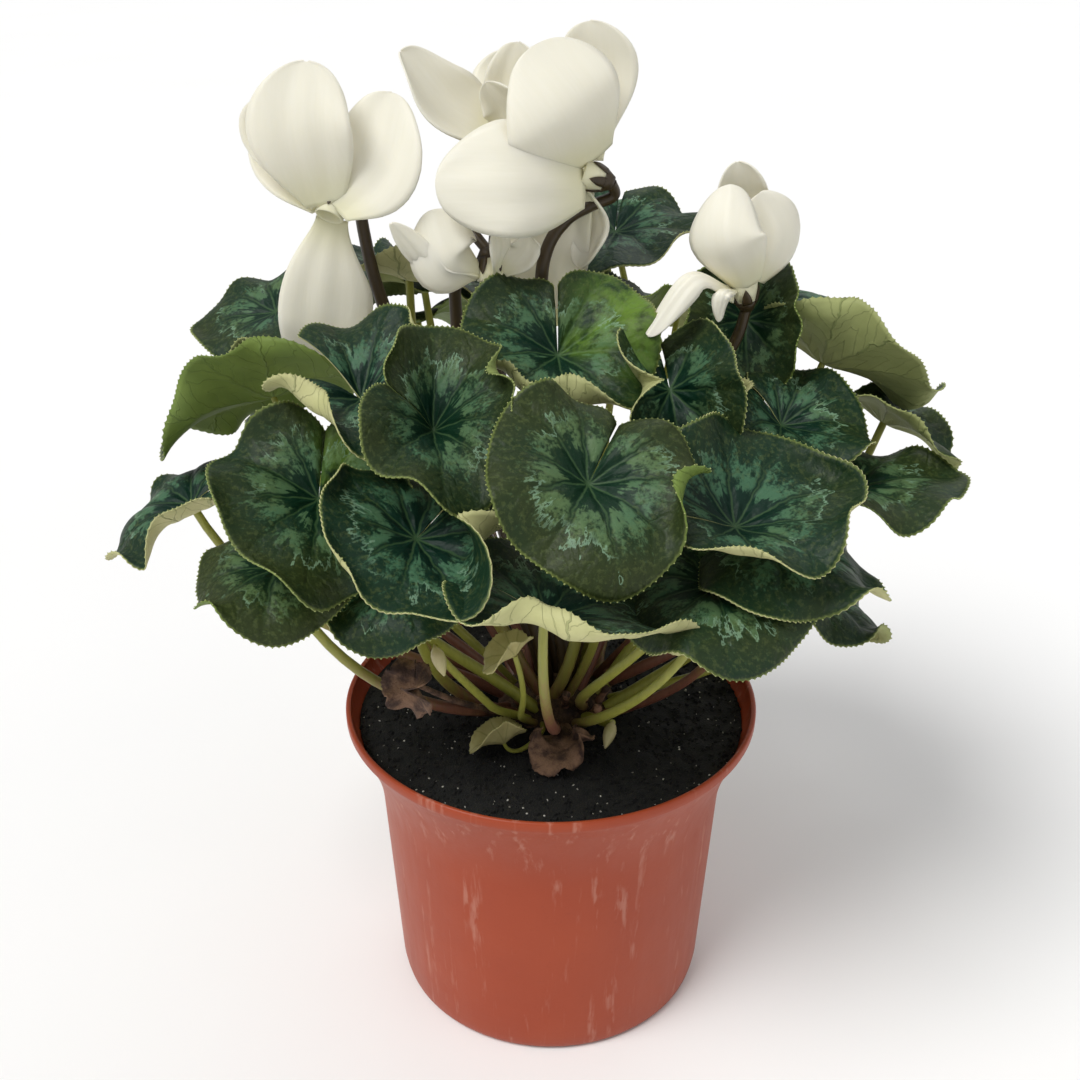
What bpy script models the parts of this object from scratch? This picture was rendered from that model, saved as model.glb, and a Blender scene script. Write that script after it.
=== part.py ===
"""Potted cyclamen: a nursery pot, its potting mix, and a white-flowered plant growing from one tuber.

Every leaf is one piece, blade and petiole together, and so is every flower's corolla.
The origin is at the middle of the pot's base; +Z is up and -Y is the plant's front.
"""

import math
from dataclasses import dataclass

import bmesh
import bpy
from mathutils import Matrix, Vector

MM = 0.001
CLEARANCE = 0.3 * MM           # gap between pieces that touch

# Pot
RIM_RADIUS = 70 * MM
POT_HEIGHT = 112 * MM
LIP_HEIGHT = 3.8 * MM
LIP_WALL = 1.8 * MM
FLARE_HEIGHT = 36 * MM
BODY_TOP_RADIUS = 59 * MM
BODY_BASE_RADIUS = 54.6 * MM
POT_WALL = 1.6 * MM
POT_FLOOR = 2.0 * MM
FOOT_HEIGHT = 3.0 * MM
FOOT_WIDTH = 3.5 * MM
FOOT_NOTCHES = 4
PAD_RADIUS = 9 * MM             # the moulded pad in the middle of the underside, level with the foot
DRAIN_RADIUS = 4.5 * MM
DRAIN_CIRCLE = 36 * MM
DRAIN_COUNT = 6
POT_STEPS = 48

# Potting mix and tuber
SOIL_TOP = 105 * MM
SOIL_BEVEL = 1 * MM
TUBER_CENTRE = Vector((2 * MM, 6 * MM, 103 * MM))
TUBER_RADIUS = 21 * MM
TUBER_HALF_HEIGHT = 11 * MM

# Leaves
BLADE_THICKNESS = 0.8 * MM
BLADE_RINGS = (0.0, 0.38, 0.72, 1.0)
BLADE_SECTORS = 12
PROFILE_STEPS = 20
PETIOLE_BASE_RADIUS = 1.8 * MM
PETIOLE_TOP_RADIUS = 1.2 * MM
ROOT_TILT = {"inner": 26, "middle": 46, "outer": 66}   # where on the tuber a stalk starts, from its top

# Flowers
PETAL_THICKNESS = 0.9 * MM
PETAL_ROWS = 6
PETAL_COLUMNS = 4
TUBE_LENGTH = 6 * MM           # the short tube behind the petals
TUBE_BASE_RADIUS = 3.4 * MM
TUBE_MOUTH_RADIUS = 4.8 * MM
TUBE_WALL = 1.0 * MM
CALYX_LENGTH = 3.2 * MM
STEM_BASE_RADIUS = 2.3 * MM
STEM_TOP_RADIUS = 1.7 * MM
BUD_LENGTH = 9 * MM
BUD_RADIUS = 2.6 * MM


@dataclass
class Leaf:
    """One leaf: where its petiole meets the blade, how the blade is turned, and how it bends.

    Lengths are in millimetres and angles in degrees. heading is the way the tip points, seen from
    above; pitch lowers the tip; roll lowers the blade's right-hand side. The slope of the blade along
    each ray from the petiole is rise near the middle, and less by droop at the margin. fold lifts both
    sides, lobe lifts the two lobes beside the notch, and notch turns the notch off the midrib's line.
    Each curl is (direction from the tip, half width, extra slope, where it starts along the ray). slit
    is half the notch's open angle, and stalk scales the petiole's thickness.
    """

    name: str
    azimuth: float
    reach: float
    height: float
    size: float
    heading: float
    pitch: float
    roll: float = 0
    rise: float = 14
    droop: float = 22
    tip: float = 8
    fold: float = 6
    lobe: float = 6
    wave: float = 5
    notch: float = 0
    curls: tuple = ()
    tier: str = "middle"
    root: float = None
    slit: float = 6
    stalk: float = 1.0

    def attachment(self):
        return polar(self.azimuth, self.reach, self.height)

    def root_azimuth(self):
        return self.azimuth if self.root is None else self.root


# How a leaf is shaped when it is not the plain kind
HEART = {"rise": 26, "droop": 26, "tip": 16, "fold": 4, "lobe": 26}
CUP = {"rise": 40, "droop": 10, "tip": -6, "fold": 12, "lobe": 8}
DOME = {"rise": 26, "droop": 52, "tip": 14, "fold": -4, "lobe": -4}
BACK = {"rise": 22, "droop": 40, "tip": 14, "fold": 2, "lobe": 0}

LEAVES = (
    # The front of the mound, top to bottom
    Leaf("leaf_top_front", -95, 8, 238, 33, -85, 16, 0, rise=26, droop=26, tip=16, fold=4, lobe=32,
         slit=13, curls=((0, 42, 170, 0.6),), tier="inner", root=-98),
    Leaf("leaf_centre_heart", -82, 65, 220, 36, -76, 28, -6, **HEART, notch=35,
         curls=((-55, 30, 120, 0.6),), tier="inner", root=-64),
    Leaf("leaf_left_dark_cup", -129, 55, 226, 34, -90, 28, -10, **CUP, curls=((-100, 45, 70, 0.7),),
         tier="inner", root=-130),
    Leaf("leaf_left_tall_cup", -165, 63, 227, 34, -60, 14, 10, rise=34, fold=10, lobe=20,
         curls=((60, 60, 130, 0.55), (-120, 70, 12, 0.0)), tier="inner", root=-163),
    Leaf("leaf_left_front", -149, 79, 202, 35, -90, 32, -10, **HEART, curls=((-80, 60, 40, 0.1),),
         root=-148),
    Leaf("leaf_left_under", -148, 93, 188, 29, -89, 16, **DOME, notch=50, tier="outer", root=-154),
    Leaf("leaf_teal_front", -115, 74, 205, 35, -60, 18, 0, lobe=0, curls=((-15, 48, 150, 0.5),),
         root=-118),
    Leaf("leaf_low_front", -90, 78, 187, 34, -15, 4, -20, droop=12, tip=2, fold=16,
         curls=((60, 50, 50, 0.3),), tier="outer", root=-94),
    Leaf("leaf_silver_right", -49, 76, 205, 39, 24, -4, 12,
         curls=((90, 75, 80, 0.0), (-90, 80, 15, 0.0)), root=-52),
    Leaf("leaf_right_hanging", -25, 38, 235, 26, -72, 64, 10, fold=20, lobe=-20,
         curls=((110, 80, 150, 0.3),), tier="inner", root=-30),
    Leaf("leaf_right_cup", -6, 70, 214, 30, -34, 24, 10, rise=36, droop=10, tip=-6, fold=12, lobe=4,
         root=-14),
    Leaf("leaf_right_low", -41, 81, 195, 34, -16, 12, 8, **DOME, notch=-25, slit=9,
         curls=((-70, 40, 60, 0.6),), tier="outer", root=-46),
    Leaf("leaf_right_under", -53, 79, 184, 31, -90, 14, 8, **DOME, notch=19, slit=32, tier="outer",
         root=-70),
    # The two sides
    Leaf("leaf_left_low_tip", -178, 114, 186, 33, -158, 24, **DOME, curls=((-90, 60, 110, 0.5),),
         tier="outer", root=178),
    Leaf("leaf_left_long", 169, 91, 214, 42, -168, 26, 18, fold=22, lobe=-24,
         curls=((-90, 80, 30, 0.2), (90, 70, -60, 0.1)), root=172),
    Leaf("leaf_left_grey", 151, 106, 231, 28, 170, 20, -20, tier="inner", root=168),
    Leaf("leaf_left_shaded", 160, 93, 176, 23, 178, 22, **BACK, tier="outer", root=162),
    Leaf("leaf_low_shaded", -135, 62, 180, 21, -110, 18, **DOME, tier="outer", root=-138),
    Leaf("leaf_right_bright", 12, 88, 225, 42, -8, 8, -22, fold=16, lobe=-10, curls=((90, 80, 12, 0.2),),
         root=24),
    Leaf("leaf_right_folded", 8, 108, 206, 29, -50, 16, -26, fold=22, lobe=-8, root=5),
    Leaf("leaf_right_long_tip", -12, 92, 199, 35, 16, 11, 2, droop=10, lobe=-14, notch=48, tier="outer",
         root=-26),
    Leaf("leaf_right_pointed", 26, 54, 238, 23, -94, 64, curls=((-90, 60, -70, 0.2), (90, 60, -60, 0.2)),
         tier="inner", root=2),
    Leaf("leaf_right_shaded", -2, 84, 154, 22, -8, 24, **BACK, tier="outer", root=-8),
    Leaf("leaf_right_back", 40, 98, 232, 30, 25, 14, **BACK, root=44),
    # The top and the back
    Leaf("leaf_back_top", 68, 56, 258, 28, -100, 12, tier="inner", root=54),
    Leaf("leaf_back_tall", 79, 88, 256, 27, 60, 4, **BACK, tier="inner", root=79),
    Leaf("leaf_top_left", 140, 60, 246, 26, -30, 6, -10, curls=((70, 70, 60, 0.4),), root=146),
    Leaf("leaf_top_right", 38, 30, 243, 16, 10, 8, -6, fold=16, curls=((90, 70, 60, 0.3),), tier="inner",
         root=28),
    Leaf("leaf_back_left_high", 122, 84, 236, 31, 125, 16, **BACK, tier="inner", root=132),
    Leaf("leaf_back_high", 100, 66, 236, 31, 100, 18, **BACK, tier="inner", root=104),
    Leaf("leaf_back_left", 118, 104, 214, 35, 122, 24, **BACK, root=120),
    Leaf("leaf_back_middle", 90, 106, 216, 34, 90, 26, **BACK, root=92),
    Leaf("leaf_back_right", 62, 100, 220, 34, 60, 24, **BACK, root=66),
    Leaf("leaf_back_left_low", 138, 108, 194, 34, 148, 26, **BACK, tier="outer", root=142),
    Leaf("leaf_back_right_low", 40, 110, 192, 31, 40, 26, **BACK, tier="outer", root=38),
    Leaf("leaf_back_shaded", 106, 104, 172, 26, 100, 22, **BACK, tier="outer", root=106),
)

# Small leaves near the pot: two young ones and two that have withered
YOUNG_LEAVES = (
    Leaf("young_leaf_folded", -103, 50, 158, 11, -150, 20, 20, fold=60, wave=2, tier="outer", root=-113,
         stalk=0.65),
    Leaf("young_leaf_low", -118, 33, 111, 12, -150, 4, 10, fold=50, wave=2, tier="outer", root=-105,
         stalk=0.65),
)
WITHERED_LEAVES = (
    Leaf("withered_leaf_crown", -84, 31, 111, 11, -140, 6, 10, fold=30, wave=22, tier="outer", root=-82,
         stalk=0.6),
    Leaf("withered_leaf_hanging", -128, 66, 150, 12, -120, 70, fold=50, wave=20, tier="outer", root=-128,
         stalk=0.6),
)


@dataclass
class Petal:
    """One petal. Its midrib runs from the mouth's edge to the tip and passes the middle of that line at
    the offset called via. The face is the way its inner side looks, and cup lifts its margins that way.

    Points are in millimetres from the middle of the mouth, and twist is in degrees. claw is the width at
    the root as a share of the whole, and a larger shoulder widens the petal further from its root.
    """

    tip: tuple
    face: tuple
    width: float
    via: tuple = (0, 0, 0)
    cup: float = 0.1
    twist: float = 0
    claw: float = 0.3
    shoulder: float = 1.25


@dataclass
class Flower:
    """One flower: its mouth, the way the mouth faces, its stem's line and its petals, in millimetres."""

    name: str
    mouth: tuple
    facing: tuple
    root: tuple
    stem: tuple
    petals: tuple


FLOWERS = (
    Flower("flower_left", (-65, 4, 275), (-0.3, -0.6, -0.74), (160, 14),
           ((-20, 16, 160), (-44, 17, 222), (-53, 15.5, 248), (-57, 17, 268), (-58, 19, 281),
            (-60.5, 17, 287)),
           (Petal((-3, -2, 43), (0, -1, 0.3), 28, (-2, -6, 2), cup=0.2),
            Petal((20, 3, 34), (-0.2, -1, 0.3), 28, (3, -3, -2), cup=0.2),
            Petal((-8, 3, -49), (0.1, -1, 0), 28, (2, -2, 3), cup=-0.25),
            Petal((-12, 10, 34), (0.5, -1, 0.2), 20, (-6, 4, 3), cup=0.1, claw=0.2),
            Petal((-17, 22, 24), (0.4, -1, 0.4), 17, (-6, 3, 0), cup=0.1, claw=0.2))),
    Flower("flower_middle", (9, 10, 286), (-0.92, 0, 0.3), (-56, 14),
           ((-1, 4, 160), (-4, 7, 215), (-3.5, 7, 251), (-2.5, 5, 266), (2.5, 1.5, 275), (10, 0, 279),
            (17, 2, 281.5), (20.5, 6.5, 282.5)),
           (Petal((-41, -19, 3), (-0.1, -0.95, 0.3), 33, (-1, -10, 6), cup=-0.3, claw=0.2, shoulder=1.7),
            Petal((-15, -9, 37), (0.1, -0.9, 0.4), 33, (3, -9, 4), cup=-0.25, shoulder=1.4),
            Petal((3, 5, 41), (0, -1, 0.3), 25, (-1, 2, 0), cup=0.2),
            Petal((-18, 9, -45), (0, -1, 0), 26, (-2, 3, 0), cup=0.15),
            Petal((-1, 4, -29), (-0.6, -0.8, 0), 10, (5, 3, 0), cup=0.5))),
    Flower("flower_back", (-16, 14, 294), (-0.68, -0.27, 0.68), (88, 14),
           ((-8, 18, 160), (-16, 20, 215), (-17.5, 20, 245), (-17.5, 19, 264), (-14, 18, 279),
            (-9.5, 17, 285)),
           (Petal((-27, 0, 25), (0.6, -0.6, 0.5), 15, (-1, 0, -3), cup=0.6),
            Petal((-3, -4, 19), (-0.4, -1, 0), 11, (2, 0, 0), cup=0.4),
            Petal((6, 4, 27), (-0.2, -1, 0.2), 17, (0, 2, 0), cup=0.2),
            Petal((4, 24, 22), (0, -1, 0.3), 20, (0, 4, 0), cup=0.2),
            Petal((18, 16, 12), (-0.3, -1, 0.3), 20, (2, 4, 0), cup=0.2))),
    Flower("flower_low", (-18, 2, 257), (0.15, -0.3, -0.94), (-128, 13),
           ((-12, 2, 160), (-27, 10, 215), (-29.5, 13, 242), (-29, 12.5, 260), (-25, 9.5, 269)),
           (Petal((-17, -3, 21), (-0.2, -1, 0.2), 21, (-2, -5, -4), cup=-0.3, claw=0.2),
            Petal((-28, -6, 18), (-0.5, 0.2, 0.85), 9, (0, 0, -6), cup=0.3),
            Petal((2, -5, 20), (0.8, -0.5, 0), 8, (1, -2, 0), cup=0.2),
            Petal((11, -2, 13), (0, -1, 0.3), 9, (2, 0, 0), cup=0.3),
            Petal((6, 12, 13), (0, -1, 0.3), 9, (2, 4, 0), cup=0.3, claw=0.2))),
    Flower("flower_right", (56, 0, 257), (-0.2, 0, 0.98), (16, 13),
           ((19, 5, 160), (40, 2, 212), (54, 0.5, 236)),
           (Petal((-11, -4, 29), (-0.2, -1, 0.2), 21, (-3, -8, 0), cup=-0.6),
            Petal((2, 6, 25), (0.6, -0.8, 0.1), 19, (6, 1, 0), cup=-0.6),
            Petal((-6, 6, 33), (0, -1, 0), 17, (0, 6, -2), cup=0.3),
            Petal((-29, -17, -11), (0, -0.5, 1), 6.5, (0, -2, 11), cup=-0.5),
            Petal((-8, -11, -9), (0, -0.5, 1), 5, (-2, -4, 5), cup=-0.5))),
)

# Nodding buds: name, root on the tuber, stem's line and the bud's tip, all in millimetres
BUDS = (
    ("bud_left", (-121, 64), ((-19, -32, 128), (-30, -50, 154), (-34, -57, 166)), (-32, -59, 160)),
    ("bud_crown", (-58, 60), ((18, -20, 113), (20, -25, 117)), (18, -30, 113)),
    ("bud_back", (84, 64), ((8, 34, 130), (14, 46, 160), (18, 54, 184)), (17, 57, 178)),
)


def polar(azimuth, reach, height):
    """A point from its azimuth in degrees and its reach and height in millimetres."""
    angle = math.radians(azimuth)
    return Vector((reach * math.cos(angle), reach * math.sin(angle), height)) * MM


# ---------------------------------------------------------------- objects, materials and joins

def srgb(hex_colour):
    """A linear colour from an sRGB hex value."""
    channels = (int(hex_colour[i:i + 2], 16) / 255 for i in (1, 3, 5))
    return tuple(c / 12.92 if c <= 0.04045 else ((c + 0.055) / 1.055) ** 2.4 for c in channels) + (1.0,)


def material(name, hex_colour, roughness):
    found = bpy.data.materials.get(name)
    if found:
        return found
    made = bpy.data.materials.new(name)
    made.use_nodes = True
    surface = made.node_tree.nodes["Principled BSDF"]
    surface.inputs["Base Color"].default_value = srgb(hex_colour)
    surface.inputs["Roughness"].default_value = roughness
    made.diffuse_color = srgb(hex_colour)
    return made


def plastic():
    return material("moulded_plastic", "#A4523E", 0.45)


def peat():
    return material("potting_mix", "#1B1512", 0.95)


def corm():
    return material("tuber_skin", "#3A2A20", 0.9)


def leaf_tissue():
    return material("leaf_tissue", "#2A4A2E", 0.5)


def young_tissue():
    return material("young_tissue", "#9CA35A", 0.5)


def petal_tissue():
    return material("petal_tissue", "#EFEBDC", 0.5)


def stem_tissue():
    return material("stem_tissue", "#3A2A18", 0.5)


def dead_tissue():
    return material("withered_tissue", "#6B4A3A", 0.9)


def new_object(name, mesh, collection, surface):
    made = bpy.data.objects.new(name, mesh)
    collection.objects.link(made)
    mesh.materials.clear()
    mesh.materials.append(surface)
    return made


def mesh_from(bm, name):
    mesh = bpy.data.meshes.new(name)
    bm.to_mesh(mesh)
    bm.free()
    return mesh


def tube_mesh(name, points, radii, sides_resolution=1):
    """A closed tube along the points, with a radius at each, welded at its caps."""
    curve = bpy.data.curves.new(name + "_line", "CURVE")
    curve.dimensions = "3D"
    curve.bevel_depth = 1.0
    curve.bevel_resolution = sides_resolution
    curve.use_fill_caps = True
    spline = curve.splines.new("POLY")
    spline.points.add(len(points) - 1)
    for node, point, radius in zip(spline.points, points, radii):
        node.co = (*point, 1.0)
        node.radius = radius
    line = bpy.data.objects.new(name + "_line", curve)
    bpy.context.scene.collection.objects.link(line)
    depsgraph = bpy.context.evaluated_depsgraph_get()
    mesh = bpy.data.meshes.new_from_object(line.evaluated_get(depsgraph))
    bpy.data.objects.remove(line)
    bpy.data.curves.remove(curve)
    bm = bmesh.new()
    bm.from_mesh(mesh)
    bmesh.ops.remove_doubles(bm, verts=bm.verts, dist=1e-6)
    bm.to_mesh(mesh)
    bm.free()
    return mesh


def cutter(name, mesh, guides):
    made = bpy.data.objects.new(name, mesh)
    guides.objects.link(made)
    made.hide_render = True
    made.display_type = "WIRE"
    return made


def boolean(target, other, operation, solver="EXACT"):
    step = target.modifiers.new(other.name, "BOOLEAN")
    step.operation = operation
    step.solver = solver
    step.object = other


def solidify(target, thickness):
    step = target.modifiers.new("thickness", "SOLIDIFY")
    step.thickness = thickness
    step.offset = -1.0
    step.use_even_offset = False


def bezier(p0, p1, p2, p3, count):
    """Points along a cubic curve."""
    out = []
    for i in range(count):
        t = i / (count - 1)
        s = 1 - t
        out.append(p0 * s**3 + p1 * 3 * s * s * t + p2 * 3 * s * t * t + p3 * t**3)
    return out


def through(points, per_span):
    """A smooth line that passes through every given point."""
    padded = [points[0] * 2 - points[1], *points, points[-1] * 2 - points[-2]]
    out = []
    for a, b, c, d in zip(padded, padded[1:], padded[2:], padded[3:]):
        for i in range(per_span):
            t = i / per_span
            out.append(0.5 * ((2 * b) + (c - a) * t + (2 * a - 5 * b + 4 * c - d) * t * t
                              + (3 * b - a - 3 * c + d) * t**3))
    out.append(points[-1])
    return out


def rising_line(root, marks, per_span):
    """A line that leaves the tuber square to its skin and then passes through the marks, in millimetres."""
    start, out = tuber_point(*root)
    start += out * CLEARANCE
    marks = [Vector(mark) * MM for mark in marks]
    span = (marks[0] - start).length
    onward = (marks[1] - start).normalized()
    first = bezier(start, start + out * span * 0.3, marks[0] - onward * span * 0.3, marks[0], per_span + 1)
    return first[:-1] + through(marks, per_span)


def taper(count, start, end):
    return [start + (end - start) * i / (count - 1) for i in range(count)]


# ---------------------------------------------------------------- pot, potting mix and tuber

def flare_radius(height):
    """The outer radius of the concave flare between the body and the lip."""
    flare_base = POT_HEIGHT - FLARE_HEIGHT
    t = (height - flare_base) / (FLARE_HEIGHT - LIP_HEIGHT)
    control = BODY_TOP_RADIUS + 0.8 * MM
    edge = RIM_RADIUS - 0.6 * MM
    return (1 - t) ** 2 * BODY_TOP_RADIUS + 2 * t * (1 - t) * control + t * t * edge


def pot_outline():
    """The wall's section, from the lip down the outside, under the floor and back up the inside."""
    lip_base = POT_HEIGHT - LIP_HEIGHT
    flare_base = POT_HEIGHT - FLARE_HEIGHT
    flare_heights = [lip_base - (lip_base - flare_base) * i / 5 for i in range(6)]
    outside = [(RIM_RADIUS - 0.8 * MM, POT_HEIGHT), (RIM_RADIUS, POT_HEIGHT - 0.8 * MM), (RIM_RADIUS, lip_base)]
    outside += [(flare_radius(z), z) for z in flare_heights]
    corner = 3 * MM
    outside += [(BODY_BASE_RADIUS + 0.2 * MM, corner), (BODY_BASE_RADIUS - 0.9 * MM, 0.9 * MM),
                (BODY_BASE_RADIUS - corner, 0)]
    foot = [(BODY_BASE_RADIUS - corner - FOOT_WIDTH, 0), (BODY_BASE_RADIUS - corner - FOOT_WIDTH, FOOT_HEIGHT)]
    floor_top = FOOT_HEIGHT + POT_FLOOR
    inside = [(BODY_BASE_RADIUS - POT_WALL - 2 * MM, floor_top), (BODY_BASE_RADIUS - POT_WALL, floor_top + 2 * MM)]
    inside += [(flare_radius(z) - POT_WALL, z) for z in reversed(flare_heights)]
    inside += [(RIM_RADIUS - LIP_WALL, POT_HEIGHT - 0.6 * MM)]
    pad = [(PAD_RADIUS, FOOT_HEIGHT), (PAD_RADIUS, 0), (0, 0)]
    return outside + foot + pad, [(0, floor_top)] + inside


def turned(name, outline, steps):
    """A closed turned mesh from a profile that runs down its outer side."""
    profile = bmesh.new()
    verts = [profile.verts.new((x, 0, z)) for x, z in outline]
    for a, b in zip(verts, verts[1:]):
        profile.edges.new((a, b))
    made = bpy.data.objects.new(name, mesh_from(profile, name))
    spin = made.modifiers.new("turn", "SCREW")
    spin.steps = spin.render_steps = steps
    spin.use_merge_vertices = True
    spin.merge_threshold = 0.00001
    return made


def cylinder_mesh(name, radius, low, high, place, sides=16):
    bm = bmesh.new()
    bmesh.ops.create_cone(bm, cap_ends=True, segments=sides, radius1=radius, radius2=radius, depth=high - low)
    bmesh.ops.translate(bm, vec=(place[0], place[1], (low + high) / 2), verts=bm.verts)
    return mesh_from(bm, name)


def make_pot(parts, guides):
    outside, inside = pot_outline()
    pot = turned("pot", inside + outside, POT_STEPS)
    parts.objects.link(pot)
    pot.data.materials.append(plastic())
    floor_top = FOOT_HEIGHT + POT_FLOOR
    for i in range(DRAIN_COUNT):
        angle = 2 * math.pi * (i + 0.5) / DRAIN_COUNT
        place = (DRAIN_CIRCLE * math.cos(angle), DRAIN_CIRCLE * math.sin(angle))
        hole = cylinder_mesh(f"drain_{i}", DRAIN_RADIUS, FOOT_HEIGHT - 2 * MM, floor_top + 2 * MM, place, 12)
        boolean(pot, cutter(f"drain_{i}", hole, guides), "DIFFERENCE")
    for i in range(FOOT_NOTCHES):
        angle = 2 * math.pi * i / FOOT_NOTCHES - math.pi / 2
        bm = bmesh.new()
        bmesh.ops.create_cube(bm, size=1.0)
        bmesh.ops.scale(bm, vec=(16 * MM, 16 * MM, 3 * MM), verts=bm.verts)
        middle = BODY_BASE_RADIUS - 4 * MM
        bmesh.ops.translate(bm, vec=(middle, 0, 0), verts=bm.verts)
        bmesh.ops.rotate(bm, cent=(0, 0, 0), matrix=Matrix.Rotation(angle, 3, "Z"), verts=bm.verts)
        boolean(pot, cutter(f"notch_{i}", mesh_from(bm, f"notch_{i}"), guides), "DIFFERENCE")
    return pot


def make_soil(parts, guides, tuber_mesh):
    """The potting mix fills the pot to its own level, with the tuber's seat pressed into its top."""
    _, inside = pot_outline()
    wall = [(radius - CLEARANCE, z) for radius, z in inside[2:] if z < SOIL_TOP - SOIL_BEVEL]
    edge = flare_radius(SOIL_TOP - SOIL_BEVEL) - POT_WALL - CLEARANCE
    floor_top = FOOT_HEIGHT + POT_FLOOR + CLEARANCE
    top = [(0, SOIL_TOP), (0.6 * edge, SOIL_TOP), (edge - 3 * MM, SOIL_TOP), (edge, SOIL_TOP - SOIL_BEVEL)]
    bottom = [(inside[1][0] - CLEARANCE, floor_top), (0, floor_top)]
    soil = turned("potting_mix", top + list(reversed(wall)) + bottom, POT_STEPS)
    parts.objects.link(soil)
    soil.data.materials.append(peat())
    seat = tuber_mesh.copy()
    for vertex in seat.vertices:
        away = (vertex.co - TUBER_CENTRE).normalized()
        vertex.co += away * (CLEARANCE * 1.6)
    boolean(soil, cutter("tuber_seat", seat, guides), "DIFFERENCE")
    return soil


def tuber_point(azimuth, tilt):
    """A point on the tuber's skin, and the way out of the skin there."""
    across, up = math.sin(math.radians(tilt)), math.cos(math.radians(tilt))
    side = Vector((math.cos(math.radians(azimuth)), math.sin(math.radians(azimuth)), 0))
    point = TUBER_CENTRE + side * (TUBER_RADIUS * across) + Vector((0, 0, TUBER_HALF_HEIGHT * up))
    normal = side * (across / TUBER_RADIUS) + Vector((0, 0, up / TUBER_HALF_HEIGHT))
    return point, normal.normalized()


def make_tuber_mesh():
    bm = bmesh.new()
    bmesh.ops.create_uvsphere(bm, u_segments=16, v_segments=10, radius=1.0)
    bmesh.ops.scale(bm, vec=(TUBER_RADIUS, TUBER_RADIUS, TUBER_HALF_HEIGHT), verts=bm.verts)
    bmesh.ops.translate(bm, vec=TUBER_CENTRE, verts=bm.verts)
    return mesh_from(bm, "tuber")


# ---------------------------------------------------------------- leaves

def bump(angle, centre, half_width):
    """A smooth rise from 0 to 1 and back to 0, over the half width on each side of the centre."""
    offset = (angle - centre + 180) % 360 - 180
    if abs(offset) >= half_width:
        return 0.0
    return 0.5 + 0.5 * math.cos(math.pi * offset / half_width)


def outline(leaf, turn):
    """The blade's radius at an angle from its tip, as a share of the leaf's size."""
    from_tip = abs((turn + 180) % 360 - 180)
    radius = 0.80 + 0.10 * math.cos(math.radians(from_tip) / 2) ** 2 + 0.10 * math.exp(-(from_tip / 16) ** 2)
    lobe_end = min(max((abs(turn - leaf.notch) - 130) / 52, 0.0), 1.0)
    return radius * math.sqrt(1 - 0.62 * lobe_end**2)


def slope(leaf, turn, share):
    """The blade's slope, in degrees, at a share of the ray that leaves the petiole at angle turn."""
    angle = leaf.rise * (1 - share) - leaf.droop * share**2 - leaf.tip * share**2 * bump(turn, 0, 70)
    angle += leaf.fold * math.sin(math.radians(turn)) ** 2 * (0.4 + 0.6 * share)
    angle += leaf.lobe * bump(turn - leaf.notch, 180, 80)
    angle += leaf.wave * math.sin(math.radians(3 * turn)) * share
    for centre, half_width, extra, start in leaf.curls:
        along = max(share - start, 0.0) / (1 - start)
        angle += extra * bump(turn, centre, half_width) * along * (1.4 - 0.4 * along)
    return angle


def ray_points(leaf, turn, shares):
    """Points of the flat-turned blade along one ray, by adding up short steps at the slope."""
    radius = leaf.size * MM * outline(leaf, turn)
    step = 1.0 / PROFILE_STEPS
    across = [0.0]
    up = [0.0]
    for i in range(PROFILE_STEPS):
        angle = math.radians(slope(leaf, turn, (i + 0.5) * step))
        across.append(across[-1] + math.cos(angle) * step)
        up.append(up[-1] + math.sin(angle) * step)
    sin_turn, cos_turn = math.sin(math.radians(turn)), math.cos(math.radians(turn))
    out = []
    for share in shares:
        low = min(int(share * PROFILE_STEPS), PROFILE_STEPS - 1)
        part = share * PROFILE_STEPS - low
        r = radius * (across[low] + (across[low + 1] - across[low]) * part)
        z = radius * (up[low] + (up[low + 1] - up[low]) * part)
        out.append(Vector((r * sin_turn, r * cos_turn, z)))
    return out


def turned_frame(heading, pitch, roll):
    """Columns are a piece's right, its forward and its up, after it is turned, tipped and rolled."""
    h, p, q = math.radians(heading), math.radians(pitch), math.radians(roll)
    forward = Vector((math.cos(h) * math.cos(p), math.sin(h) * math.cos(p), -math.sin(p)))
    up = Vector((math.cos(h) * math.sin(p), math.sin(h) * math.sin(p), math.cos(p)))
    right = Vector((math.sin(h), -math.cos(h), 0))
    rolled_right = right * math.cos(q) - up * math.sin(q)
    rolled_up = up * math.cos(q) + right * math.sin(q)
    return Matrix((rolled_right, forward, rolled_up)).transposed()


def blade_mesh(leaf):
    """A grid bent round the petiole's end into a blade with a notch."""
    bm = bmesh.new()
    rings = len(BLADE_RINGS) - 1
    bmesh.ops.create_grid(bm, x_segments=BLADE_SECTORS, y_segments=rings, size=0.5)
    frame = turned_frame(leaf.heading, leaf.pitch, leaf.roll)
    place = leaf.attachment()
    rays = {}
    for vert in bm.verts:
        sector = round((vert.co.x + 0.5) * BLADE_SECTORS)
        ring = round((vert.co.y + 0.5) * rings)
        if sector not in rays:
            turn = leaf.notch + (leaf.slit - 180) + (360 - 2 * leaf.slit) * sector / BLADE_SECTORS
            rays[sector] = ray_points(leaf, turn, BLADE_RINGS)
        vert.co = place + frame @ rays[sector][ring]
    bmesh.ops.remove_doubles(bm, verts=bm.verts, dist=1e-6)
    return mesh_from(bm, leaf.name)


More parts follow.
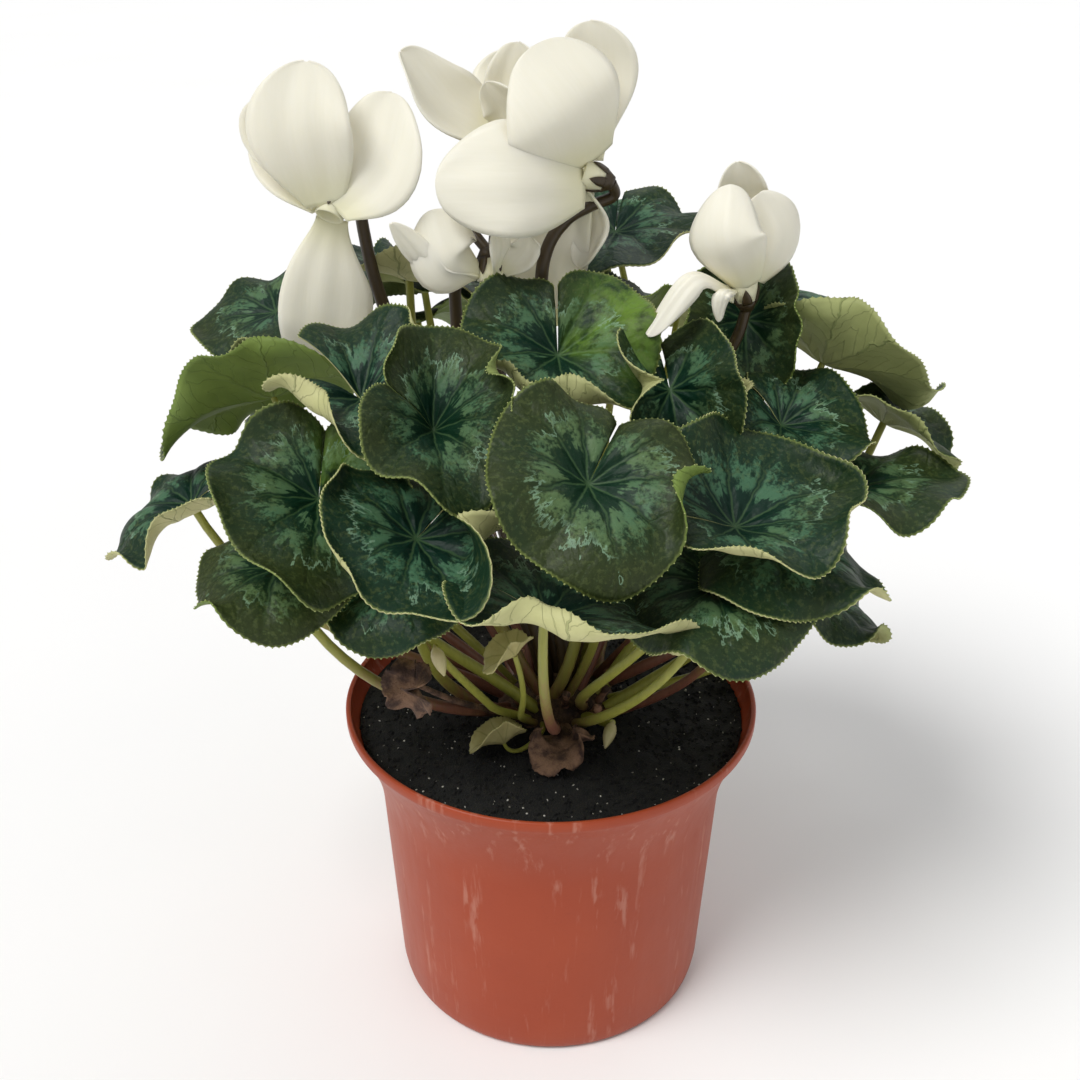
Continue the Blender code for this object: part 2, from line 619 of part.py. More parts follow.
def petiole_points(leaf, count=8):
    """The petiole's line from the tuber's skin to just inside the blade."""
    root, out = tuber_point(leaf.root_azimuth(), ROOT_TILT[leaf.tier])
    start = root + out * CLEARANCE
    up = turned_frame(leaf.heading, leaf.pitch, leaf.roll).col[2]
    outwards = Vector((leaf.attachment().x, leaf.attachment().y, 0)).normalized()
    arriving = (up * 0.6 + Vector((0, 0, 0.5)) + outwards * 0.2).normalized()
    end = leaf.attachment() - arriving * (0.4 * MM)
    span = (end - start).length
    return bezier(start, start + out * span * 0.35, end - arriving * span * 0.35, end, count)


def make_leaf(leaf, parts, guides, tissue):
    blade = new_object(leaf.name, blade_mesh(leaf), parts, tissue)
    solidify(blade, BLADE_THICKNESS)
    points = petiole_points(leaf)
    radii = taper(len(points), PETIOLE_BASE_RADIUS * leaf.stalk, PETIOLE_TOP_RADIUS * leaf.stalk)
    petiole = cutter(leaf.name + "_petiole", tube_mesh(leaf.name, points, radii), guides)
    boolean(blade, petiole, "UNION")
    return blade


# ---------------------------------------------------------------- flowers and buds

def aim(direction):
    """A turn that takes +Z to the direction."""
    return Vector(direction).normalized().to_track_quat("Z", "Y").to_matrix()


def half_width(petal, share):
    """Half the petal's width at a share of its length: a narrow claw that widens to a rounded end."""
    blade = math.sin(math.pi * share**petal.shoulder) ** 0.7 if 0 < share < 1 else 0.0
    return 0.5 * petal.width * MM * (petal.claw * (1 - share) ** 2 + blade)


def petal_mesh(flower, petal, name):
    """A grid laid along the petal's midrib, which starts in the tube's wall."""
    mouth, facing = Vector(flower.mouth) * MM, Vector(flower.facing).normalized()
    reach = Vector(petal.tip) * MM
    side = (reach - facing * reach.dot(facing)).normalized()
    start = mouth + side * (TUBE_MOUTH_RADIUS - 0.6 * TUBE_WALL) - facing * (1.2 * MM)
    end = mouth + reach
    midrib = through([start, (start + end) / 2 + Vector(petal.via) * MM, end], 8)
    face = Vector(petal.face).normalized()
    bm = bmesh.new()
    bmesh.ops.create_grid(bm, x_segments=PETAL_COLUMNS, y_segments=PETAL_ROWS, size=0.5)
    for vert in bm.verts:
        across = vert.co.x * 2
        share = math.sin((vert.co.y + 0.5) * math.pi / 2) ** 1.2
        place = share * (len(midrib) - 1)
        low = min(int(place), len(midrib) - 2)
        point = midrib[low].lerp(midrib[low + 1], place - low)
        along = (midrib[low + 1] - midrib[low]).normalized()
        width = Matrix.Rotation(math.radians(petal.twist * share), 3, along) @ along.cross(face).normalized()
        reach_across = half_width(petal, share)
        vert.co = point + width * (across * reach_across) + width.cross(along) * (
            petal.cup * across * across * reach_across)
    bmesh.ops.remove_doubles(bm, verts=bm.verts, dist=1e-6)
    return mesh_from(bm, name)


def tube_cup(flower):
    """The corolla's tube: a small cup, closed at its foot and open at the mouth."""
    foot = -TUBE_LENGTH
    outline = [(0, foot + TUBE_WALL), (TUBE_BASE_RADIUS - TUBE_WALL, foot + TUBE_WALL),
               (TUBE_MOUTH_RADIUS - TUBE_WALL, 0), (TUBE_MOUTH_RADIUS, 0), (TUBE_BASE_RADIUS, foot), (0, foot)]
    made = turned(flower.name, outline, 12)
    made.rotation_euler = aim(flower.facing).to_euler()
    made.location = Vector(flower.mouth) * MM
    return made


def make_corolla(flower, parts, guides):
    corolla = tube_cup(flower)
    parts.objects.link(corolla)
    corolla.data.materials.append(petal_tissue())
    for number, petal in enumerate(flower.petals):
        name = f"{flower.name}_petal_{number}"
        sheet = cutter(name, petal_mesh(flower, petal, name), guides)
        solidify(sheet, PETAL_THICKNESS)
        boolean(corolla, sheet, "UNION", solver="MANIFOLD")


def make_flower_stem(flower, parts, guides):
    """The stem, with the calyx that holds the corolla's tube at its end."""
    facing = Vector(flower.facing).normalized()
    calyx_top = Vector(flower.mouth) * MM - facing * (TUBE_LENGTH + CLEARANCE)
    calyx_foot = calyx_top - facing * CALYX_LENGTH
    points = rising_line(flower.root, [*flower.stem, (calyx_foot + facing * MM) / MM], 3)
    name = flower.name + "_stem"
    radii = taper(len(points), STEM_BASE_RADIUS, STEM_TOP_RADIUS)
    stem = new_object(name, tube_mesh(name, points, radii), parts, stem_tissue())
    bm = bmesh.new()
    bmesh.ops.create_cone(bm, cap_ends=True, segments=10, radius1=STEM_TOP_RADIUS + 0.3 * MM,
                          radius2=TUBE_BASE_RADIUS + 0.6 * MM, depth=CALYX_LENGTH)
    bmesh.ops.rotate(bm, cent=(0, 0, 0), matrix=aim(facing), verts=bm.verts)
    bmesh.ops.translate(bm, vec=(calyx_top + calyx_foot) / 2, verts=bm.verts)
    boolean(stem, cutter(name + "_calyx", mesh_from(bm, name), guides), "UNION")


def make_bud(name, root, stem, tip, parts, guides):
    """A bud on its own thin stem, hanging from the stem's hooked end."""
    hook, end = Vector(stem[-1]) * MM, Vector(tip) * MM
    points = rising_line(root, stem, 3)
    made = new_object(name, tube_mesh(name, points, taper(len(points), 1.1 * MM, 0.8 * MM)), parts,
                      young_tissue())
    bm = bmesh.new()
    bmesh.ops.create_uvsphere(bm, u_segments=10, v_segments=6, radius=1.0)
    bmesh.ops.scale(bm, vec=(BUD_RADIUS, BUD_RADIUS, BUD_LENGTH / 2), verts=bm.verts)
    bmesh.ops.rotate(bm, cent=(0, 0, 0), matrix=aim(end - hook), verts=bm.verts)
    bmesh.ops.translate(bm, vec=hook + (end - hook).normalized() * (BUD_LENGTH * 0.42), verts=bm.verts)
    boolean(made, cutter(name + "_head", mesh_from(bm, name), guides), "UNION")


# ---------------------------------------------------------------- build

def main():
    for leftover in list(bpy.data.objects):
        bpy.data.objects.remove(leftover)
    parts = bpy.data.collections.new("potted_cyclamen")
    guides = bpy.data.collections.new("cutters")
    for group in (parts, guides):
        bpy.context.scene.collection.children.link(group)
    make_pot(parts, guides)
    tuber_mesh = make_tuber_mesh()
    make_soil(parts, guides, tuber_mesh)
    new_object("tuber", tuber_mesh, parts, corm())
    for leaf in LEAVES:
        make_leaf(leaf, parts, guides, leaf_tissue())
    for leaf in YOUNG_LEAVES:
        make_leaf(leaf, parts, guides, young_tissue())
    for leaf in WITHERED_LEAVES:
        make_leaf(leaf, parts, guides, dead_tissue())
    for flower in FLOWERS:
        make_corolla(flower, parts, guides)
        make_flower_stem(flower, parts, guides)
    for name, root, stem, tip in BUDS:
        make_bud(name, root, stem, tip, parts, guides)


main()
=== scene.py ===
import functools
import math
import random

import bmesh
import bpy
import numpy as np
from bpy.props import FloatProperty, FloatVectorProperty, IntProperty, PointerProperty
from mathutils import Matrix, Vector, noise


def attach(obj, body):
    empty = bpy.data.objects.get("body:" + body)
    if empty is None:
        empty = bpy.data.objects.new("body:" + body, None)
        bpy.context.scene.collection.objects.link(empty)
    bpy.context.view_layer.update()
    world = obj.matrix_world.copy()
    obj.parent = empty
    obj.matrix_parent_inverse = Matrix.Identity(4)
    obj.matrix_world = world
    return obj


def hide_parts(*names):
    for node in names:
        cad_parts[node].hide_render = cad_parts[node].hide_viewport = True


bl_info = {
    "name": "Potted Cyclamen",
    "version": (1, 0, 0),
    "blender": (4, 5, 0),
    "location": "3D View > Sidebar > Cyclamen",
    "description": "Grows a white cyclamen in a plain plastic pot around its measured frame",
    "category": "Add Mesh",
}

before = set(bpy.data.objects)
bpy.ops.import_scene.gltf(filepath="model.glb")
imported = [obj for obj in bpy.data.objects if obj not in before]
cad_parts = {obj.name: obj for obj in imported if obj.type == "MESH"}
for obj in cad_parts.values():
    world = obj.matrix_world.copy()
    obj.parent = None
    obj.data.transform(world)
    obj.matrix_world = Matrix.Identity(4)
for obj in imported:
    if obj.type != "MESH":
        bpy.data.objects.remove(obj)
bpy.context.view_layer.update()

# Lengths below are in millimetres and angles in degrees, and everything stands on the ground at z = 0
MM = 0.001
POT_HEIGHT = 112.0
RIM_RADIUS = 70.0
WAIST_HEIGHT = 76.0     # where the pot's straight body ends and its concave flare begins
WAIST_RADIUS = 59.0
FLARE_HEIGHT = 32.2
FLARE_LEAN = 0.8        # from the waist out to the point that draws the flare's curve
LIP_OVERHANG = 0.6      # from the flare's top out to the rim
FOOT_RADIUS = 54.95     # of the body, were it carried down to the ground
FLOOR_TOP = 5.0
RECESS_HEIGHT = 3.0     # of the hollow under the floor, inside the foot ring
RECESS_RADIUS = 48.1
PAD_RADIUS = 9.0        # of the round pad in the middle of the hollow
# The rounded lip, as offsets from the top outer corner of the rim, from its inside over to its outside
LIP = ((-1.8, -1.4), (-1.6, -0.4), (-1.1, -0.05), (-0.7, 0.0), (-0.25, -0.2), (0.0, -0.7), (0.0, -2.0),
       (-0.05, -3.1), (-0.3, -3.7))
NOTCHES = 4             # in the foot ring
NOTCH_HALF_WIDTH = 8.0
NOTCH_HEIGHT = 1.5
DRAIN_HOLES = 6
DRAIN_RING = 36.0       # radius of the circle that the drain holes stand on
DRAIN_RADIUS = 4.5
SOIL_TOP = 105.0
SOIL_INSET = 2.0        # from the pot's outer face in to the potting mix
TUBER_CENTRE = Vector((2, 6, 103))
TUBER_RADIUS = 21.0
TUBER_HALF_HEIGHT = 11.0
VEIN_STEP = 36.0        # between a blade's main veins
TOOTH_PITCH = 1.8       # along a blade's margin
MEAN_RADIUS = 0.86      # of a blade, as a share of its leaf's size
# Rings of points on a blade, as shares of the way from its petiole to its margin
BLADE_RINGS = (0.05, 0.1, 0.16, 0.22, 0.29, 0.36, 0.43, 0.5, 0.57, 0.64, 0.71, 0.78, 0.84, 0.9, 0.955)
STALK_TILT = {"inner": 26, "middle": 46, "outer": 66}    # how far from the tuber's top a petiole starts
THROAT_RADIUS = 4.1     # where the petals leave the corolla's tube
THROAT_DEPTH = 1.2
PETAL_THICKNESS = 0.85  # at the throat
PETAL_THINNING = 0.4    # from the throat to the tip
SEPAL_THICKNESS = 0.35
CALYX_BACK = 6.0        # from a corolla's mouth back to its calyx
STALK_BACK = 8.5        # from a corolla's mouth back to its stalk's end
BUD_GIRTH = (1.5, 1.0)  # radius of a bud's stalk at the tuber and at the bud
BUD_RADIUS = 2.0
# Each lamp's name, the way to it, its strength and its spread
LAMPS = (("key_light", (-0.6, -0.5, 1.1), 2.3, 30), ("fill_light", (0.9, -0.6, 0.6), 0.35, 60),
         ("back_light", (0.3, 1.0, 0.9), 0.5, 50))
SKY_STRENGTH = 0.42
FLOOR_HALF_WIDTH = 4000.0
CAMERA_PLACE = Vector((-0.0037, -0.3842, 0.3712))    # in metres
CAMERA_AIM = Vector((-0.0037, 0, 0.171))
FOCAL_LENGTH = 44.6
SENSOR_WIDTH = 36.0

# Blade forms. Rise is the slope up from the petiole, droop the slope down at the margin, tip more droop at
# the tip, fold the sides' slope up, lobe the two lobes' slope up, and wave the height of three soft waves.
# Notch turns the cleft away from the heading, slit is half the cleft's angle, tier says how high on the
# tuber the petiole starts, and stalk thickens it.
PLAIN = dict(rise=20, droop=24, tip=10, fold=11, lobe=14, wave=8, notch=0, slit=2.5, curls=(), tier="middle",
             stalk=1.0)
HEART = dict(PLAIN, rise=26, droop=26, tip=16, fold=4, lobe=26)
CUP = dict(PLAIN, rise=40, droop=10, tip=-6, fold=12, lobe=8)
DOME = dict(PLAIN, rise=26, droop=52, tip=14, fold=-4, lobe=-4)
BACK = dict(PLAIN, rise=22, droop=40, tip=14, fold=2, lobe=0)


def leaf(name, place, size, turned, root, form=PLAIN, tone=0.5, lit_side=(0, 1, 0), **more):
    """A leaf's place is azimuth, reach and height, its size is how far the blade goes from petiole to tip,
    turned is heading, pitch and roll, and root is where on the tuber its petiole starts. A curl is its
    direction from the tip, its half width, its extra slope and where it starts. Tone goes from teal, 0, to
    olive, 1, and also turns the lower skin from pale to a darker green that is partly painted shade. A lit
    side is the direction, the half width and the strength of painted light: a lighter green on the side
    of the blade that the light falls on."""
    return dict(form, name=name, place=place, size=size, turned=turned, root=root, tone=tone, lit_side=lit_side,
                **more)


LEAVES = (
    # The front of the mound, from its top down
    leaf("leaf_top_front", (-80, 9, 237), 38, (-85, 31, 0), -98, PLAIN, tone=0.45, lit_side=(-105, 80, 1.0),
         rise=30, droop=20, tip=12, fold=20, lobe=22, slit=2, tier="inner", curls=((-4, 42, 180, 0.6),)),
    leaf("leaf_centre_heart", (-82, 65, 221), 38, (-76, 30, -6), -64, HEART, tone=0.7, rise=30, droop=36,
         tip=26, fold=20, lobe=16, notch=35, slit=1, tier="inner",
         curls=((-55, 30, 130, 0.7), (35, 50, -26, 0.2))),
    leaf("leaf_left_dark_cup", (-130, 52, 226), 39, (-84, 36, -6), -130, CUP, tone=0.55, rise=44, fold=40,
         notch=-70, slit=1, tier="inner", curls=((-100, 45, 80, 0.7),)),
    leaf("leaf_left_tall_cup", (-157, 60, 229), 37, (-66, 18, 8), -163, PLAIN, tone=0.12, rise=34, fold=8,
         lobe=20, notch=-52, slit=20, tier="inner", curls=((60, 50, 130, 0.6), (-120, 70, 26, 0.0))),
    leaf("leaf_left_front", (-149, 78, 205), 39, (-90, 32, -10), -148, HEART, tone=0.55,
         lit_side=(-150, 60, 0.9), rise=30, fold=12, slit=1, curls=((-98, 52, 95, 0.5), (-150, 40, 50, 0.5))),
    leaf("leaf_left_under", (-148, 93, 188), 31, (-89, 16, 0), -154, DOME, tone=0.8, notch=50,
         tier="outer"),
    leaf("leaf_teal_front", (-119, 76, 206), 36, (-62, 24, -6), -118, PLAIN, tone=0.15, fold=12, lobe=0,
         notch=60, slit=1, curls=((-30, 55, 190, 0.4), (60, 60, -16, 0.2))),
    leaf("leaf_low_front", (-92, 76, 187), 42, (-10, 8, -10), -94, PLAIN, tone=0.25, droop=14, tip=2,
         fold=6, tier="outer", curls=((80, 66, 80, 0.74),)),
    leaf("leaf_silver_right", (-49, 76, 205), 39, (24, -4, 12), -52, PLAIN, tone=0.3, rise=20, droop=14,
         slit=1, curls=((90, 75, 22, 0.0), (-95, 85, 52, 0.0))),
    leaf("leaf_right_hanging", (-29, 39, 230), 30, (-72, 58, 12), -30, PLAIN, tone=0.45, fold=60, lobe=-20,
         tier="inner", curls=((100, 80, 90, 0.5),)),
    leaf("leaf_right_cup", (-6, 70, 214), 30, (-34, 24, 10), -14, PLAIN, tone=0.3, rise=36, droop=10,
         tip=-6, fold=12, lobe=4),
    leaf("leaf_right_low", (-41, 80, 196), 38, (-16, 12, 6), -46, DOME, tone=0.35, notch=-25, slit=5,
         tier="outer", curls=((-70, 40, 60, 0.6),)),
    leaf("leaf_right_under", (-54, 77, 189), 37, (-90, 12, 8), -70, DOME, tone=0.45, notch=19, slit=8,
         wave=12, tier="outer"),
    # The two sides
    leaf("leaf_left_low_tip", (-178, 114, 186), 33, (-158, 24, 0), 178, DOME, tone=0.3, tier="outer",
         curls=((-90, 60, 110, 0.5),)),
    leaf("leaf_left_long", (169, 91, 214), 42, (-168, 26, 18), 172, PLAIN, tone=0.6, fold=22, lobe=-24,
         curls=((-90, 80, 30, 0.2), (90, 70, -60, 0.1))),
    leaf("leaf_left_grey", (151, 106, 231), 31, (170, 20, -20), 168, PLAIN, tone=0.5, tier="inner"),
    leaf("leaf_left_shaded", (160, 93, 176), 34, (178, 22, 0), 162, BACK, tier="outer"),
    leaf("leaf_low_shaded", (-135, 62, 180), 30, (-110, 18, 0), -138, DOME, tone=0.3, tier="outer"),
    leaf("leaf_right_bright", (12, 88, 225), 41, (-12, 27, -20), 24, PLAIN, tone=0.5, fold=16, lobe=-6,
         droop=10, tip=0, curls=((90, 80, 24, 0.2), (-90, 70, -14, 0.1))),
    leaf("leaf_right_folded", (8, 108, 206), 29, (-50, 16, -26), 5, PLAIN, tone=0.5, fold=22, lobe=-8),
    leaf("leaf_right_long_tip", (-12, 92, 199), 37, (16, 11, 2), -26, PLAIN, tone=0.6, droop=10, lobe=-14,
         notch=48, tier="outer"),
    leaf("leaf_right_pointed", (12, 61, 241), 27, (-90, 60, 6), 2, PLAIN, tone=0.7, fold=40, tier="inner",
         curls=((-90, 60, 40, 0.3),)),
    leaf("leaf_right_shaded", (-2, 84, 154), 33, (-8, 24, 0), -8, BACK, tier="outer"),
    leaf("leaf_right_back", (40, 98, 232), 36, (25, 14, 0), 44, BACK, tone=0.4),
    # The top and the back
    leaf("leaf_back_top", (68, 56, 258), 35, (-100, 12, 0), 54, PLAIN, tone=0.3, tier="inner"),
    leaf("leaf_back_tall", (79, 88, 256), 30, (60, 4, 0), 79, BACK, tone=0.4, tier="inner"),
    leaf("leaf_top_left", (140, 60, 246), 31, (-30, 6, -10), 146, PLAIN, tone=0.4,
         curls=((70, 70, 60, 0.4),)),
    leaf("leaf_top_right", (38, 30, 243), 24, (10, 8, -6), 28, PLAIN, tone=0.6, fold=16, tier="inner",
         curls=((90, 70, 60, 0.3),)),
    leaf("leaf_back_left_high", (122, 84, 236), 37, (125, 16, 0), 132, BACK, tone=0.5, tier="inner"),
    leaf("leaf_back_high", (100, 66, 236), 38, (100, 18, 0), 104, BACK, tone=0.3, tier="inner"),
    leaf("leaf_back_left", (118, 104, 214), 41, (122, 24, 0), 120, BACK, tone=0.6),
    leaf("leaf_back_middle", (90, 106, 216), 40, (90, 26, 0), 92, BACK, tone=0.4),
    leaf("leaf_back_right", (62, 100, 220), 41, (60, 24, 0), 66, BACK, tone=0.5),
    leaf("leaf_back_left_low", (138, 108, 194), 40, (148, 26, 0), 142, BACK, tone=0.4, tier="outer"),
    leaf("leaf_back_right_low", (40, 110, 192), 38, (40, 26, 0), 38, BACK, tone=0.6, tier="outer"),
    leaf("leaf_back_shaded", (106, 104, 172), 36, (100, 22, 0), 106, BACK, tone=0.4, tier="outer"),
)
YOUNG_LEAVES = (
    leaf("young_leaf_folded", (-103, 50, 158), 11, (-150, 20, 20), -113, PLAIN, fold=60, wave=2,
         tier="outer", stalk=0.65),
    leaf("young_leaf_low", (-118, 33, 112), 12, (-165, 6, 24), -105, PLAIN, fold=72, wave=6, tier="outer",
         stalk=0.65),
)
WITHERED_LEAVES = (
    leaf("withered_leaf_crown", (-82, 32, 111), 14, (-140, 6, 10), -82, PLAIN, fold=30, wave=22,
         tier="outer", stalk=0.6),
    leaf("withered_leaf_hanging", (-128, 66, 150), 12, (-120, 70, 0), -128, PLAIN, fold=50, wave=20,
         tier="outer", stalk=0.6),
)


def petal(tip, face, width, via=(0, 0, 0), cup=0.1, claw=0.3, shoulder=1.25):
    """A petal's midrib runs from the mouth's edge to the tip, which is measured from the mouth's middle,
    and passes the middle of that line at the offset called via. Face is the way its inner side looks, and
    cup lifts its margins that way. Claw is its width at the mouth, as a share, and a higher shoulder puts
    its widest part nearer the tip."""
    return dict(tip=tip, face=face, width=width, via=via, cup=cup, claw=claw, shoulder=shoulder)


# A flower's mouth is the middle of its corolla's opening, facing is the way it looks, root is where on the
# tuber its stem starts, as azimuth and tilt, and stem is the line its stalk follows
FLOWERS = (
    dict(name="flower_left", mouth=(-65, 4, 275), facing=(-0.3, -0.6, -0.74), root=(160, 14),
         stem=((-20, 16, 160), (-44, 17, 222), (-53, 15.5, 248), (-57, 17, 268), (-58, 19, 281),
               (-60.5, 17, 287)),
         petals=(petal((-3, -2, 43), (0, -1, 0.3), 27, (-2, -5, 2), cup=0.08, claw=0.4),
                 petal((20, 3, 34), (-0.2, -1, 0.3), 25, (3, -3, -2), cup=0.08, claw=0.4),
                 petal((-8, 3, -49), (0.1, -1, 0), 27, (0, -2, 3), cup=-0.1, claw=0.35, shoulder=1.6),
                 petal((-13, 10, 33), (0.5, -1, 0.2), 20, (-6, 4, 3), claw=0.2),
                 petal((-17, 22, 24), (0.4, -1, 0.4), 17, (-6, 3, 0), claw=0.2))),
    dict(name="flower_middle", mouth=(9, 10, 286), facing=(-0.92, 0, 0.3), root=(-56, 14),
         stem=((-1, 4, 160), (-4, 7, 215), (-3.5, 8, 251), (-1.5, 9.5, 264), (4, 11, 272), (11, 12, 276),
               (18, 12, 279)),
         petals=(petal((-42, -17, 1), (-0.1, -0.95, 0.3), 30, (1, -9, 2), cup=-0.14, claw=0.4,
                       shoulder=1.3),
                 petal((-16, -7, 35), (0.1, -0.9, 0.4), 34, (3, -8, 1), cup=-0.14, claw=0.45, shoulder=1.3),
                 petal((1, 5, 41), (0, -1, 0.3), 23, (1, 2, 0), cup=0.1, shoulder=1.6),
                 petal((-18, 9, -45), (0, -1, 0), 26, (-2, 3, 0), cup=0.15),
                 petal((-1, 4, -29), (-0.6, -0.8, 0), 10, (5, 3, 0), cup=0.5))),
    dict(name="flower_back", mouth=(-16, 14, 294), facing=(-0.68, -0.27, 0.68), root=(88, 14),
         stem=((-8, 18, 160), (-16, 20, 215), (-17.5, 20, 245), (-17.5, 19, 264), (-14, 18, 279),
               (-9.5, 17, 285)),
         petals=(petal((-27, 0, 25), (0.6, -0.6, 0.5), 20, (-1, 0, -3), cup=0.5, claw=0.6),
                 petal((-3, -2, 17), (-0.4, -1, 0), 12, (2, 0, 0), cup=0.3, claw=0.6),
                 petal((6, 4, 27), (-0.2, -1, 0.2), 17, (0, 2, 0), cup=0.2),
                 petal((4, 24, 22), (0, -1, 0.3), 20, (0, 4, 0), cup=0.2),
                 petal((18, 16, 12), (-0.3, -1, 0.3), 20, (2, 4, 0), cup=0.2))),
    dict(name="flower_low", mouth=(-18, 2, 257), facing=(0.15, -0.3, -0.94), root=(-128, 13),
         stem=((-12, 2, 160), (-27, 10, 215), (-29.5, 13, 242), (-29, 12.5, 260), (-25, 9.5, 269)),
         petals=(petal((-17, -3, 21), (-0.2, -1, 0.2), 21, (-2, -5, -4), cup=-0.3, claw=0.2),
                 petal((-28, -6, 18), (-0.5, 0.2, 0.85), 9, (0, 0, -6), cup=0.3),
                 petal((2, -5, 20), (0.8, -0.5, 0), 8, (1, -2, 0), cup=0.2),
                 petal((11, -2, 13), (0, -1, 0.3), 9, (2, 0, 0), cup=0.3),
                 petal((6, 12, 13), (0, -1, 0.3), 9, (2, 4, 0), cup=0.3, claw=0.2))),
    dict(name="flower_right", mouth=(56, 0, 257), facing=(-0.2, 0, 0.98), root=(16, 13),
         stem=((19, 5, 160), (40, 2, 212), (54, 0.5, 236)),
         petals=(petal((-6, -4, 29), (-0.3, -1, 0.2), 20, (-4, -7, 0), cup=-0.4, claw=0.45, shoulder=1.2),
                 petal((3, 2, 25), (0.4, -0.9, 0.1), 18, (6, 1, 0), cup=-0.4, claw=0.5, shoulder=1.2),
                 petal((-3, 6, 33), (0, -1, 0), 16, (0, 6, -2), cup=0.3, shoulder=1.6),
                 petal((-29, -17, -11), (0, -0.5, 1), 8, (0, -2, 11), cup=-0.5, claw=1.1, shoulder=2.4),
                 petal((-8, -11, -9), (0, -0.5, 1), 5, (-2, -4, 5), cup=-0.5))),
)
# Nodding buds: name, root on the tuber, the stem's line and the bud's tip
BUDS = (
    ("bud_left", (-121, 64), ((-19, -32, 128), (-30, -50, 154), (-34, -57, 166)), (-32, -59, 160)),
    ("bud_crown", (-58, 60), ((18, -20, 113), (20, -25, 117)), (18, -30, 113)),
    ("bud_back", (84, 64), ((8, 34, 130), (14, 46, 160), (18, 54, 184)), (17, 57, 178)),
)
# Stubs of old stalks on the tuber: azimuth, tilt, length and radius
STUBS = ((-78, 40, 7, 1.5), (-60, 50, 9, 1.3), (-50, 62, 6, 1.7), (-98, 56, 8, 1.4), (-110, 44, 6, 1.6),
         (-30, 52, 8, 1.4), (10, 50, 7, 1.5), (60, 46, 8, 1.4), (130, 50, 7, 1.6), (-140, 52, 8, 1.3))


# ------------------------------------------------------------------ material nodes

MATHS = "ShaderNodeMath"
RANGE = "ShaderNodeMapRange"
NOISE = "ShaderNodeTexNoise"
MIX = "ShaderNodeMix"
BUMP = "ShaderNodeBump"
ATTRIBUTE = "ShaderNodeAttribute"
OF_COLOURS = {"out": 2, "data_type": "RGBA"}    # with inputs 0, the factor, and 6 and 7, the colours


def colour(code):
    """A hex display colour as linear light, with alpha."""
    shares = [int(code[i:i + 2], 16) / 255 for i in (1, 3, 5)]
    return (*(s / 12.92 if s <= 0.04045 else ((s + 0.055) / 1.055) ** 2.4 for s in shares), 1.0)


def add(tree, kind, inputs=(), out=0, **settings):
    """One output, by number or name, of a new node with its settings. Its inputs are a tuple in the node's
    order, or a dict by number or name. A socket is linked, a hex colour is turned to linear light, and
    any other value is set."""
    node = tree.nodes.new(kind)
    for name, value in settings.items():
        setattr(node, name, value)
    for key, value in inputs.items() if isinstance(inputs, dict) else enumerate(inputs):
        if isinstance(value, bpy.types.NodeSocket):
            tree.links.new(value, node.inputs[key])
        else:
            is_colour = isinstance(value, str) and value.startswith("#")
            node.inputs[key].default_value = colour(value) if is_colour else value
    return node.outputs[out]


def new_surface(name, **values):
    """A material with a Principled shader: the material, its own add function and its shader."""
    made = bpy.data.materials.new(name)
    made.use_nodes = True
    shader = made.node_tree.nodes["Principled BSDF"]
    for key, value in values.items():
        shader.inputs[key.replace("_", " ")].default_value = value
    return made, functools.partial(add, made.node_tree), shader


def coat(shader, shown, relief=None, depth=0.0):
    """Gives a shader its colour, and a relief as deep as the millimetres given."""
    links = shader.id_data.links
    links.new(shown, shader.inputs["Base Color"])
    if relief is not None:
        bent = add(shader.id_data, BUMP, {"Height": relief, "Distance": depth * MM, "Strength": 1.0})
        links.new(bent, shader.inputs["Normal"])


def masked(node, strength, *limits):
    """A strength times a smooth step for each limit. A limit is a value, where its step is 0 and where it
    is 1, which may lie below the first."""
    for value, start, end in limits:
        step = node(RANGE, (value, start, end), interpolation_type="SMOOTHSTEP")
        strength = node(MATHS, (strength, step), operation="MULTIPLY")
    return strength


def layered(node, shown, *layers):
    """A colour under thin layers of others, each given as its share and its colour."""
    for share, shade in layers:
        shown = node(MIX, {0: share, 6: shown, 7: shade}, **OF_COLOURS)
    return shown


def in_millimetres(node, squash=(1.0, 1.0, 1.0)):
    """Object coordinates in millimetres, squashed along some axes, where a pattern draws out."""
    place = node("ShaderNodeTexCoord", out="Object")
    return node("ShaderNodeVectorMath", (place, tuple(s / MM for s in squash)), operation="MULTIPLY")


def vein_distances(node):
    """Distances in millimetres to the nearest main vein and to the nearest side vein of a blade."""
    turn, reach = (node(ATTRIBUTE, out="Fac", attribute_name=key) for key in ("turn", "reach"))
    where = node("ShaderNodeUVMap", uv_map="blade")
    # A main vein wavers by a few degrees over patches of about 6 mm
    sway = node(NOISE, {"Vector": where, "Scale": 0.16, "Detail": 2.0, "Roughness": 0.55})
    waver = node(MATHS, (sway, 14.0, -7.0), operation="MULTIPLY_ADD")
    bent = node(MATHS, (turn, waver), operation="ADD")
    from_main = node(MATHS, (bent, VEIN_STEP / 2), operation="PINGPONG")
    width = node(MATHS, (from_main, math.pi / 180), operation="MULTIPLY")
    main = node(MATHS, (width, reach), operation="MULTIPLY")
    # Side veins leave the main ones aslant, 5.2 mm apart
    aslant = node(MATHS, (main, -1.25, reach), operation="MULTIPLY_ADD")
    aslant = node(MATHS, (waver, 0.25, aslant), operation="MULTIPLY_ADD")
    return main, node(MATHS, (aslant, 2.6), operation="PINGPONG")


